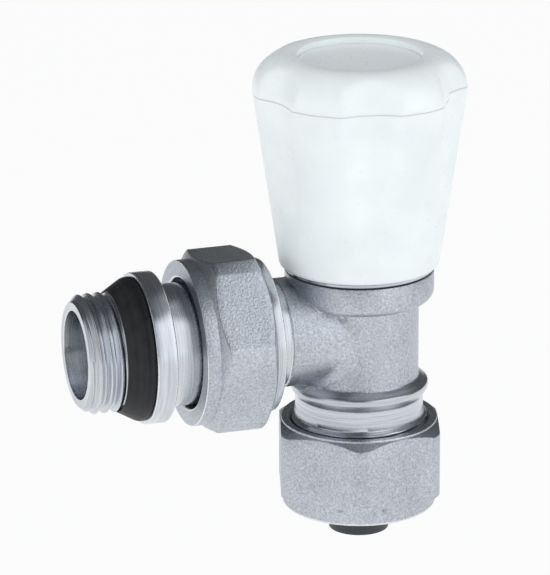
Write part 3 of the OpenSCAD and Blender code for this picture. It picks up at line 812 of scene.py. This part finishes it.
@dataclass
class CompressionNut:
    """Compression nut with a round band at its mouth."""

    shape: HexShape = field(default_factory=lambda: HexShape(Axis.STEM, 28.0, 31.0, 13.0))
    top: float = -17.0
    hex_top: float = -17.4
    hex_low: float = -30.0
    low: float = -33.0
    top_r: float = 13.8
    band_r: float = 13.55
    hole_r: float = 8.2
    thread_r: float = 12.05
    seat_r: float = 10.6
    thread_low: float = -26.2
    cone_top: float = -28.1

    def build(self) -> bpy.types.Object:
        """Builds the nut."""
        cone_low = self.cone_top - (self.seat_r - self.hole_r) / math.tan(math.radians(38.0))
        turning = Turning(
            Axis.STEM,
            [
                Corner(self.thread_r + 0.55, self.top, 0.12),
                Corner(self.top_r, self.top, 0.14),
                Corner(self.top_r, self.hex_top),
                Corner(self.top_r + 0.8, self.hex_top - 0.46, cuts=6),
                Corner(self.top_r + 0.8, self.hex_low),
                Corner(self.band_r, self.hex_low),
                Corner(self.band_r, self.low, 0.45),
                Corner(self.hole_r, self.low, 0.2),
                Corner(self.hole_r, cone_low),
                Corner(self.seat_r, self.cone_top),
                Corner(self.seat_r, self.thread_low),
                Corner(self.thread_r, self.thread_low),
                Corner(self.thread_r, self.top - 0.55),
            ],
            segments=144,
            turn_deg=self.shape.corner_deg,
            wear_and_highlight=True,
        )
        bm = turning.spin()
        self.press(bm)
        turning.round_edges(bm)
        sharpen(bm, self.shape, self.top_r + 0.15, 0.2)
        return hand_over("compression_nut_worn", bm, "compression_nut", "compression_nut", [Finishes.blasted, Finishes.edge])

    def press(self, bm: bmesh.types.BMesh) -> None:
        """Presses the hexagon into the spun blank, with its flats run out into the band.

        Args:
            bm: The spun blank.
        """
        start = self.hex_top - 0.46
        for vert in bm.verts:
            radius, angle, station = Axis.STEM.polar(vert.co)
            angle = self.shape.snap(angle, 2.5)
            reach = self.shape.flat_radius(angle)
            run_out = 0.7 * (1.0 - smooth_step(0.1, 0.9, reach - self.shape.af / 2))
            if abs(radius - self.top_r - 0.8) < 0.01:
                top = self.hex_top - self.shape.rise(angle, self.top_r)
                share = (station - start) / (self.hex_low - start)
                station = top + share * (self.hex_low + run_out - top)
                radius = reach
            elif abs(radius - self.band_r) < 0.01 and abs(station - self.hex_low) < 0.01:
                station -= run_out
            vert.co = Axis.STEM.point(radius, station, angle)


@dataclass
class Tail:
    """Tailpiece with its thread, its rubber cone and the rings on it."""

    thread_r: float = 10.48
    pitch: float = 1.814
    depth: float = 1.0
    tip_x: float = -6.3
    tip_r: float = 9.1
    chamfer: float = 1.4
    relief_r: float = 9.3

    def envelope(self, station: float) -> float:
        """Largest radius of the thread at a station."""
        entry = self.tip_r + (station - self.tip_x) * (self.thread_r - self.tip_r) / self.chamfer
        run_out = self.thread_r - max(0.0, station)
        return min(entry, run_out, self.thread_r)

    def build(self) -> None:
        """Builds the tailpiece and its rubber cone, and dresses the rings."""
        undercut = self.thread_r - self.relief_r
        turning = Turning(
            Axis.TAIL,
            [
                Corner(7.7, self.tip_x, 0.15),
                Corner(self.tip_r, self.tip_x, cuts=16),
                Corner(self.thread_r, self.tip_x + self.chamfer, cuts=64),
                Corner(self.thread_r, 0.0, cuts=12),
                Corner(self.relief_r, undercut),
                Corner(self.relief_r, 4.55),
                Corner(13.2, 4.55, 0.22),
                Corner(13.2, 8.2, 0.3),
                Corner(10.7, 8.2, 0.35),
                Corner(10.7, 15.2),
                Corner(10.2, 15.2),
                Corner(10.2, 16.9),
                Corner(11.3, 16.9, 0.1),
                Corner(11.3, 17.85, 0.1),
                Corner(10.2, 17.85),
                Corner(9.68, 18.8),
                Corner(7.75, 18.8),
                Corner(7.75, 20.4),
                Corner(8.73, 20.4),
                Corner(8.2, 21.3, 0.1),
                Corner(6.3, 21.3, 0.15),
                Corner(6.3, 15.7),
                Corner(7.7, 15.7),
            ],
            segments=160,
            wear_and_highlight=True,
        )
        bm = turning.spin()
        thread = Thread(Axis.TAIL, self.tip_x + 0.001, 1.1, self.thread_r, self.depth, self.pitch, self.envelope, 9.0)
        thread.cut(bm)
        turning.round_edges(bm)
        hand_over("tailpiece_threaded", bm, "tail", "tailpiece", [Finishes.tail_nickel, Finishes.edge], 40.0)
        self.build_cone(undercut)
        for node, finish in {"tail_o_ring": Finishes.rubber, "tail_snap_ring": Finishes.steel}.items():
            dress(node, finish)

    def build_cone(self, undercut: float) -> None:
        """Builds the rubber cone.

        Args:
            undercut: Depth of the relief that the cone's lip sits in.
        """
        cone = Turning(
            Axis.TAIL,
            [
                Corner(self.thread_r - 0.3, 0.3),
                Corner(10.5, 0.0, 0.08),
                Corner(12.55, 3.5, 0.5),
                Corner(12.55, 4.55, 0.2),
                Corner(self.relief_r, 4.55),
                Corner(self.relief_r, undercut),
            ],
            segments=128,
        )
        hand_over("rubber_cone", cone.build(), "tail", "tail_gasket", [Finishes.rubber])


@dataclass
class Body:
    """Valve body: the barrel with its turned foot, and the branch."""

    barrel_r: float = 10.45
    collar_r: float = 13.1
    top: float = 10.45
    ledge: float = 5.0
    groove_r: float = 11.3
    pipe_thread_r: float = 12.0
    branch_r: float = 9.55
    union_thread_r: float = 13.22
    shoulder_x: float = 25.9
    fillet: float = 1.5

    def build(self) -> None:
        """Builds the barrel and the branch."""
        self.build_barrel()
        self.build_branch()

    def foot_envelope(self, station: float) -> float:
        """Largest radius of the pipe thread at a level."""
        entry = 11.1 + max(0.0, station + 24.5)
        run_out = self.pipe_thread_r + min(0.0, -16.15 - station) * 0.8
        return min(entry, run_out, self.pipe_thread_r)

    def build_barrel(self) -> None:
        """Builds the barrel with collar, bead, groove and pipe thread."""
        turning = Turning(
            Axis.STEM,
            [
                Corner(9.05, self.top),
                Corner(self.collar_r, self.top, 0.18),
                Corner(self.collar_r, self.ledge, 1.95),
                Corner(self.barrel_r, self.ledge, 0.55),
                Corner(self.barrel_r, -9.2, 0.25),
                Corner(12.15, -10.2, 0.22),
                Corner(12.15, -11.2, 0.2),
                Corner(self.groove_r, -12.7, 0.3),
                Corner(self.groove_r, -15.3, 0.15),
                Corner(self.pipe_thread_r, -16.2, cuts=70),
                Corner(self.pipe_thread_r, -23.6, cuts=8),
                Corner(11.1, -24.5),
                Corner(10.0, -24.5),
                Corner(8.5, -23.0),
                Corner(8.5, -19.0),
                Corner(6.0, -19.0),
                Corner(6.0, -8.0),
                Corner(4.8, -8.0),
                Corner(4.8, -5.0),
                Corner(5.5, -5.0),
                Corner(5.5, -5.6),
                Corner(8.3, -5.6),
                Corner(8.3, 5.25),
                Corner(9.05, 5.25),
            ],
        )
        bm = turning.spin()
        thread = Thread(Axis.STEM, -24.49, -16.15, self.pipe_thread_r, 0.8, 1.5, self.foot_envelope, 10.9)
        thread.cut(bm)
        turning.round_edges(bm)
        for face in bm.faces:
            radius, _, level = Axis.STEM.polar(face.calc_center_median())
            turned = level < -9.3 or radius < 9.3 or level > self.top - 0.02
            face.material_index = 1 if turned else 0
        barrel = hand_over("body_barrel", bm, "valve", "valve_body", [Finishes.blasted, Finishes.stem_nickel])
        self.bore(barrel)

    def bore(self, barrel: bpy.types.Object) -> None:
        """Cuts the waterway's hole into the barrel's wall.

        Args:
            barrel: The barrel.
        """
        bm = bmesh.new()
        place = Matrix.Translation((33.0 * MM, 0, 0)) @ Matrix.Rotation(math.pi / 2, 4, "Y")
        bmesh.ops.create_cone(
            bm, cap_ends=True, segments=48, radius1=5.6 * MM, radius2=5.6 * MM, depth=18.0 * MM, matrix=place
        )
        mesh = bpy.data.meshes.new("bore_cutter")
        bm.to_mesh(mesh)
        bm.free()
        cutter = bpy.data.objects.new("bore_cutter", mesh)
        bpy.context.scene.collection.objects.link(cutter)
        cut = barrel.modifiers.new("bore", "BOOLEAN")
        cut.object, cut.operation, cut.solver = cutter, "DIFFERENCE", "EXACT"
        graph = bpy.context.evaluated_depsgraph_get()
        bored = bpy.data.meshes.new_from_object(barrel.evaluated_get(graph), depsgraph=graph)
        barrel.modifiers.clear()
        barrel.data = bored
        bpy.data.objects.remove(cutter)
        log.info("barrel bored: %d faces", len(bored.polygons))

    def wall_radius(self, level: float) -> float:
        """Outer radius of the barrel at a level."""
        if level > 7.0:
            return self.collar_r
        curve = 11.1 + math.sqrt(max(0.0, 4.0 - min(4.0, (7.0 - level) ** 2)))
        share = smooth_step(4.6, 5.3, level)
        foot = self.barrel_r + 1.7 * min(1.0, max(0.0, -9.2 - level))
        return foot + share * (curve - foot)

    def meet(self, radius: float, angle: float) -> float:
        """Station where a line along the branch meets the barrel.

        Args:
            radius: Distance of the line from the tail's axis.
            angle: Its angle about that axis.

        Returns:
            The station in millimetres.
        """
        side, level = radius * math.cos(angle), radius * math.sin(angle)
        wall = self.wall_radius(level)
        return STEM_X - math.sqrt(max(1.0, wall * wall - side * side))

    def build_branch(self) -> None:
        """Builds the branch with its union thread, shoulder and fillet to the barrel."""
        start, stop = 30.25, 36.0
        turning = Turning(
            Axis.TAIL,
            [
                Corner(10.4, 17.9),
                Corner(12.32, 17.9, cuts=8),
                Corner(self.union_thread_r, 18.8, cuts=64),
                Corner(self.union_thread_r, self.shoulder_x),
                Corner(13.5, self.shoulder_x, 0.12),
                Corner(13.5, 27.55, 0.3),
                Corner(9.35, 27.55, 0.3),
                Corner(9.35, 30.0, 0.1),
                Corner(self.branch_r, start, cuts=17),
                Corner(self.branch_r, stop),
                Corner(5.5, stop),
                Corner(5.5, 21.5),
                Corner(8.28, 21.5),
            ],
            wear_and_highlight=True,
        )
        bm = turning.spin()
        thread = Thread(Axis.TAIL, 17.91, 25.4, self.union_thread_r, 1.0, 1.814, self.union_envelope, 12.0)
        thread.cut(bm)
        for vert in bm.verts:
            radius, angle, station = Axis.TAIL.polar(vert.co)
            if station <= start + 0.001:
                continue
            if radius < self.branch_r - 0.01:
                vert.co.x = STEM_X - math.sqrt(8.25**2 - (radius * math.cos(angle)) ** 2)
                continue
            vert.co = self.flare((station - start) / (stop - start), start, angle)
        turning.round_edges(bm)
        for face in bm.faces:
            radius, _, station = Axis.TAIL.polar(face.calc_center_median())
            if face.material_index == 0 and station > 30.1 and radius > self.branch_r - 0.1:
                face.material_index = 2
        hand_over("body_branch", bm, "valve", "valve_body", [Finishes.tail_nickel, Finishes.edge, Finishes.blasted])

    def union_envelope(self, station: float) -> float:
        """Largest radius of the union thread at a station."""
        return min(self.union_thread_r, 12.32 + station - 17.9, self.union_thread_r + (station > 25.0) * 0.0)

    def flare(self, share: float, start: float, angle: float) -> Vector:
        """Point on the branch that widens into the barrel.

        Args:
            share: Way from the turned band to the barrel, from 0 to 1.
            start: Station of the band's end.
            angle: Angle about the tail's axis.

        Returns:
            The point in millimetres.
        """
        side, level = abs(self.branch_r * math.cos(angle)), self.branch_r * math.sin(angle)
        room = (self.barrel_r - 0.25) * self.branch_r / max(side, 0.5) - self.branch_r
        fillet = min(self.fillet * (1.0 - 0.8 * smooth_step(3.5, 7.5, level)), room)
        knee = 0.3
        if share < knee:
            station = start + (self.meet(self.branch_r, angle) - fillet - start) * share / knee
            return Axis.TAIL.point(self.branch_r, station, angle)
        sweep = (share - knee) / (1.0 - knee) * math.pi / 2
        radius = self.branch_r + fillet * (1.0 - math.cos(sweep))
        station = self.meet(radius, angle) - fillet * (1.0 - math.sin(sweep)) + 0.08 * math.sin(sweep)
        return Axis.TAIL.point(radius, station, angle)


@dataclass
class Handwheel:
    """Handwheel with soft flutes, its cap and its inner ribs."""

    low: float = 11.45
    high: float = 48.95
    rim_r: float = 14.0
    wide_r: float = 18.6
    crown: float = 6.0
    flutes: int = 6
    flute_r: float = 10.5
    flute_depth: float = 1.8
    flute_end: float = 9.0
    flute_deg: float = 16.86
    knee: float = 0.5
    flare_deg: float = 17.0
    recess_r: float = 10.85
    floor: float = 46.75
    soft: float = 0.9

    @property
    def wide_z(self) -> float:
        """Level where the handwheel is widest."""
        return self.high - self.crown

    def side(self, level: float) -> float:
        """Radius of the straight side at a level."""
        return self.rim_r + (self.wide_r - self.rim_r) * (level - self.low) / (self.wide_z - self.low)

    def flute(self, angle: float, level: float) -> float:
        """Radius of the flutes' surface at a place, or a large one beside them."""
        end_z = self.low + self.flute_end
        high_r = self.wide_r - self.flute_depth
        lean = (high_r - self.side(end_z)) / (self.wide_z - end_z)
        knee_z = self.wide_z + self.knee
        hollow = self.flute_r + (knee_z - level) * lean
        if level > knee_z:
            hollow = self.flute_r + (level - knee_z) * math.tan(math.radians(self.flare_deg))
        reach = high_r + self.flute_r
        pitch = 360.0 / self.flutes
        off = math.radians((math.degrees(angle) - self.flute_deg + pitch / 2) % pitch - pitch / 2)
        inside = hollow**2 - (reach * math.sin(off)) ** 2
        return reach * math.cos(off) - math.sqrt(inside) if inside > 0 else 99.0

    def build(self) -> None:
        """Builds the shell with its ribs, and the cap."""
        profile = [
            Corner(12.5, self.low, 0.3),
            Corner(self.rim_r, self.low, 0.5),
            Corner(self.side(self.low + 1.0), self.low + 1.0, cuts=40),
            *arc(self.wide_r - self.crown, self.wide_z, self.crown, 0.0, 90.0, 16),
            Corner(self.recess_r, self.high, 0.25),
            Corner(self.recess_r, self.floor),
            Corner(3.5, self.floor),
            Corner(3.5, 44.55),
            Corner(2.6, 44.55),
            Corner(2.6, 29.0),
            Corner(6.0, 29.0, 0.2),
            Corner(6.0, 43.55),
            Corner(15.4, 43.55),
        ]
        turning = Turning(Axis.STEM, profile, segments=216)
        bm = turning.spin()
        self.press_flutes(bm)
        turning.round_edges(bm)
        self.add_ribs(bm)
        hand_over("handwheel_shell", bm, "handwheel", "handwheel", [Finishes.white], 40.0)
        cap = Turning(
            Axis.STEM,
            [
                Corner(0.0, self.floor),
                Corner(self.recess_r - 0.05, self.floor, 0.2),
                Corner(self.recess_r - 0.05, self.floor + 1.2, 0.25),
                Corner(self.recess_r - 1.1, self.floor + 1.2),
                Corner(0.0, self.floor + 1.05),
            ],
            closed=False,
            segments=128,
        )
        hand_over("handwheel_lid", cap.build(), "handwheel", "handwheel_cap", [Finishes.cap])

    def press_flutes(self, bm: bmesh.types.BMesh) -> None:
        """Presses the flutes into the outer surface.

        Args:
            bm: The spun shell.
        """
        for vert in bm.verts:
            radius, angle, level = Axis.STEM.polar(vert.co)
            if radius > self.recess_r + 1.0 and level > self.low + 0.9 and radius > self.side(level) - 7.0:
                if abs(radius - 15.4) < 0.01 and abs(level - 43.55) < 0.01:
                    continue
                radius = soft_min(radius, self.flute(angle, level), self.soft)
                vert.co = Axis.STEM.point(radius, level, angle)

    def add_ribs(self, bm: bmesh.types.BMesh) -> None:
        """Adds the ribs between hub and wall.

        Args:
            bm: The shell's mesh.
        """
        for i in range(self.flutes):
            turn = Matrix.Rotation(math.radians(self.flute_deg + (i + 0.5) * 60.0), 4, "Z")
            place = Matrix.Translation(Axis.STEM.centre) @ turn @ Matrix.Translation((10.4, 0.0, 39.0))
            made = bmesh.ops.create_cube(bm, size=1.0, matrix=place @ Matrix.Diagonal((9.0, 1.2, 9.2, 1.0)))
            bmesh.ops.recalc_face_normals(bm, faces=list({f for v in made["verts"] for f in v.link_faces}))


@dataclass
class Adaptor:
    """Pipe adaptor with its rings and the split ring."""

    def build(self) -> None:
        """Dresses the adaptor's solids."""
        finishes = {
            "pipe_insert": Finishes.dark,
            "nose_o_ring": Finishes.rubber,
            "insert_o_rings": Finishes.rubber,
            "insulating_washer": Finishes.pale,
            "split_ring": Finishes.stem_brass,
        }
        for node, finish in finishes.items():
            dress(node, finish)


@dataclass
class Headwork:
    """Headwork, spindle and closing disc."""

    def build(self) -> None:
        """Dresses the headwork's solids."""
        finishes = {
            "bonnet": Finishes.flange_nickel,
            "bonnet_gasket": Finishes.fibre,
            "spindle": Finishes.stem_brass,
            "spindle_o_rings": Finishes.rubber,
            "disc_holder": Finishes.stem_brass,
            "disc_snap_ring": Finishes.steel,
            "seat_washer": Finishes.rubber,
            "disc_screw": Finishes.stem_brass,
            "handwheel_screw": Finishes.steel,
        }
        for node, finish in finishes.items():
            dress(node, finish)


@dataclass(frozen=True)
class Window:
    """Lit window of the tent.

    Attributes:
        left: Azimuth of its left edge, in degrees.
        right: Azimuth of its right edge.
        low: Elevation of its lower edge.
        high: Elevation of its upper edge.
        soft: Width of its soft edge.
        strength: Its light.
    """

    left: float
    right: float
    low: float
    high: float
    soft: float
    strength: float

    def share(self, sketch: Sketch, azimuth: bpy.types.NodeSocket, elevation: bpy.types.NodeSocket) -> bpy.types.NodeSocket:
        """Light of the window in a direction.

        Args:
            sketch: Tree of the tent's material.
            azimuth: Azimuth of the direction, in radians.
            elevation: Its elevation, in radians.

        Returns:
            The value socket.
        """
        sides = ((azimuth, self.left, 1.0), (azimuth, self.right, -1.0), (elevation, self.low, 1.0), (elevation, self.high, -1.0))
        light: bpy.types.NodeSocket | float = self.strength
        for angle, edge, sign in sides:
            near, far = math.radians(edge - sign * self.soft / 2), math.radians(edge + sign * self.soft / 2)
            ends = (near, far, 0.0, 1.0) if sign > 0 else (far, near, 1.0, 0.0)
            light = sketch.math("MULTIPLY", sketch.span(angle, *ends), light)
        return light


@dataclass
class Studio:
    """Floor, backdrop, lamps, dark flags and the camera.

    Attributes:
        aim: Point that the camera looks at, in millimetres.
        distance: Distance of the camera, in millimetres.
        azimuth: Azimuth of the camera in degrees, 0 along +Y.
        elevation: Elevation of the camera in degrees.
        roll: Roll of the camera in degrees.
        lens: Focal length for the sensor's 36 mm.
        floor_z: Level of the floor, in millimetres.
        cloth: Light of the tent's cloth.
        windows: Lit windows of the tent.
    """

    aim: tuple[float, float, float] = (29.86, 0.0, 8.32)
    distance: float = 700.0
    azimuth: float = -18.44
    elevation: float = 18.39
    roll: float = -0.25
    lens: float = 263.7
    floor_z: float = -90.0
    cloth: float = 0.10
    windows: tuple[Window, ...] = (
        Window(-1.0, 68.0, -34.0, 56.0, 9.0, 1.15),
        Window(-112.0, -36.0, -48.0, 42.0, 12.0, 0.55),
        Window(-179.0, 179.0, -90.0, -42.0, 20.0, 0.22),
        Window(20.0, 120.0, 40.0, 80.0, 20.0, 0.22),
    )

    @staticmethod
    def towards(azimuth: float, elevation: float) -> Vector:
        """Direction at an azimuth and an elevation, in degrees."""
        a, e = math.radians(azimuth), math.radians(elevation)
        return Vector((math.sin(a) * math.cos(e), -math.cos(a) * math.cos(e), math.sin(e)))

    def build(self) -> None:
        """Builds the studio."""
        self.build_camera()
        self.build_world()
        self.build_floor()
        self.build_tent()
        self.lamp("box_right", 40.0, 2.0, 1.2, 1.0, 1.0, 7.0)
        self.lamp("box_left", -70.0, 0.0, 1.2, 1.0, 1.0, 7.0)
        bpy.context.scene.view_settings.view_transform = "Standard"

    def build_camera(self) -> None:
        """Places the camera at the photograph's view."""
        back = self.towards(self.azimuth, self.elevation)
        camera = bpy.data.objects.new("camera", bpy.data.cameras.new("camera"))
        bpy.context.scene.collection.objects.link(camera)
        camera.data.sensor_fit = "HORIZONTAL"
        camera.data.sensor_width = 36.0
        camera.data.lens = self.lens
        camera.data.clip_start, camera.data.clip_end = 0.05, 50.0
        look = (-back).to_track_quat("-Z", "Y").to_matrix().to_4x4()
        place = Matrix.Translation((Vector(self.aim) + back * self.distance) * MM)
        camera.matrix_world = place @ look @ Matrix.Rotation(math.radians(self.roll), 4, "Z")
        bpy.context.scene.camera = camera

    def build_world(self) -> None:
        """Makes the world white to camera and gloss, and a plain level of light otherwise."""
        world = bpy.data.worlds.new("studio")
        bpy.context.scene.world = world
        world.use_nodes = True
        tree = world.node_tree
        tree.nodes.clear()
        output = tree.nodes.new("ShaderNodeOutputWorld")
        path = tree.nodes.new("ShaderNodeLightPath")
        seen = tree.nodes.new("ShaderNodeMath")
        seen.operation, seen.use_clamp = "ADD", True
        clear = tree.nodes.new("ShaderNodeMath")
        clear.operation, clear.use_clamp = "ADD", True
        tree.links.new(path.outputs["Is Camera Ray"], seen.inputs[0])
        tree.links.new(path.outputs["Is Glossy Ray"], seen.inputs[1])
        tree.links.new(seen.outputs[0], clear.inputs[0])
        tree.links.new(path.outputs["Is Transmission Ray"], clear.inputs[1])
        light = tree.nodes.new("ShaderNodeBackground")
        light.inputs["Color"].default_value = (0.97, 0.985, 1.0, 1.0)
        light.inputs["Strength"].default_value = 0.75
        white = tree.nodes.new("ShaderNodeBackground")
        white.inputs["Color"].default_value = (1.0, 1.0, 1.0, 1.0)
        white.inputs["Strength"].default_value = 1.0
        mix = tree.nodes.new("ShaderNodeMixShader")
        tree.links.new(clear.outputs[0], mix.inputs["Fac"])
        tree.links.new(light.outputs[0], mix.inputs[1])
        tree.links.new(white.outputs[0], mix.inputs[2])
        tree.links.new(mix.outputs[0], output.inputs["Surface"])

    def build_floor(self) -> None:
        """Lays the pale floor, which keeps a soft shadow."""
        bm = bmesh.new()
        bmesh.ops.create_grid(bm, x_segments=2, y_segments=2, size=4.0, matrix=Matrix.Translation((0, 0, self.floor_z * MM)))
        mesh = bpy.data.meshes.new("floor")
        bm.to_mesh(mesh)
        bm.free()
        floor = bpy.data.objects.new("floor", mesh)
        bpy.context.scene.collection.objects.link(floor)
        sketch = Sketch("pale_floor")
        sketch.put(Base_Color=(0.86, 0.86, 0.87, 1.0), Roughness=0.9)
        tree = sketch.tree
        path = tree.nodes.new("ShaderNodeLightPath")
        glow = tree.nodes.new("ShaderNodeEmission")
        glow.inputs["Strength"].default_value = 1.0
        share = sketch.math("MULTIPLY", sketch.math("MAXIMUM", path.outputs["Is Camera Ray"], path.outputs["Is Glossy Ray"]), 0.9)
        mix = tree.nodes.new("ShaderNodeMixShader")
        sketch.link(share, mix.inputs["Fac"])
        sketch.link(sketch.shader.outputs["BSDF"], mix.inputs[1])
        sketch.link(glow.outputs[0], mix.inputs[2])
        output = next(n for n in tree.nodes if n.type == "OUTPUT_MATERIAL")
        sketch.link(mix.outputs[0], output.inputs["Surface"])
        mesh.materials.append(sketch.material)

    def lamp(self, name: str, azimuth: float, elevation: float, distance: float, width: float, height: float, power: float) -> None:
        """Hangs a soft box.

        Args:
            name: Name of the lamp.
            azimuth: Azimuth in degrees.
            elevation: Elevation in degrees.
            distance: Distance in metres.
            width: Width in metres.
            height: Height in metres.
            power: Power in watts.
        """
        data = bpy.data.lights.new(name, "AREA")
        data.shape, data.size, data.size_y, data.energy = "RECTANGLE", width, height, power
        lamp = bpy.data.objects.new(name, data)
        bpy.context.scene.collection.objects.link(lamp)
        direction = self.towards(azimuth, elevation)
        turn = direction.to_track_quat("Z", "Y").to_matrix().to_4x4()
        lamp.visible_glossy = False
        lamp.matrix_world = Matrix.Translation(Vector(self.aim) * MM + direction * distance) @ turn

    def build_tent(self) -> None:
        """Hangs a tent round the part that only gloss sees: dark cloth with two lit windows."""
        bm = bmesh.new()
        centre = Matrix.Translation(Vector(self.aim) * MM)
        bmesh.ops.create_uvsphere(bm, u_segments=48, v_segments=24, radius=2.0)
        mesh = bpy.data.meshes.new("tent")
        bm.to_mesh(mesh)
        bm.free()
        tent = bpy.data.objects.new("tent", mesh)
        tent.matrix_world = centre
        bpy.context.scene.collection.objects.link(tent)
        sketch = Sketch("tent_cloth")
        unit = sketch.tree.nodes.new("ShaderNodeVectorMath")
        unit.operation = "NORMALIZE"
        sketch.link(sketch.place, unit.inputs[0])
        split = sketch.tree.nodes.new("ShaderNodeSeparateXYZ")
        sketch.link(unit.outputs[0], split.inputs[0])
        azimuth = sketch.math("ARCTAN2", split.outputs["X"], sketch.math("MULTIPLY", split.outputs["Y"], -1.0))
        elevation = sketch.math("ARCSINE", split.outputs["Z"])
        light: bpy.types.NodeSocket | float = self.cloth
        for window in self.windows:
            light = sketch.math("ADD", light, window.share(sketch, azimuth, elevation))
        glow = sketch.tree.nodes.new("ShaderNodeEmission")
        glow.inputs["Color"].default_value = (0.95, 0.975, 1.0, 1.0)
        sketch.link(light, glow.inputs["Strength"])
        output = next(n for n in sketch.tree.nodes if n.type == "OUTPUT_MATERIAL")
        sketch.link(glow.outputs[0], output.inputs["Surface"])
        mesh.materials.append(sketch.material)
        tent.visible_camera = False
        tent.visible_diffuse = False
        tent.visible_shadow = False
        tent.visible_transmission = False


def main() -> None:
    """Builds the sub-assemblies and the studio."""
    for assembly in (Body(), Tail(), UnionNut(), CompressionNut(), Adaptor(), Headwork(), Handwheel(), Studio()):
        assembly.build()
        log.info("%s done", type(assembly).__name__)


if __name__ == "__main__":
    main()
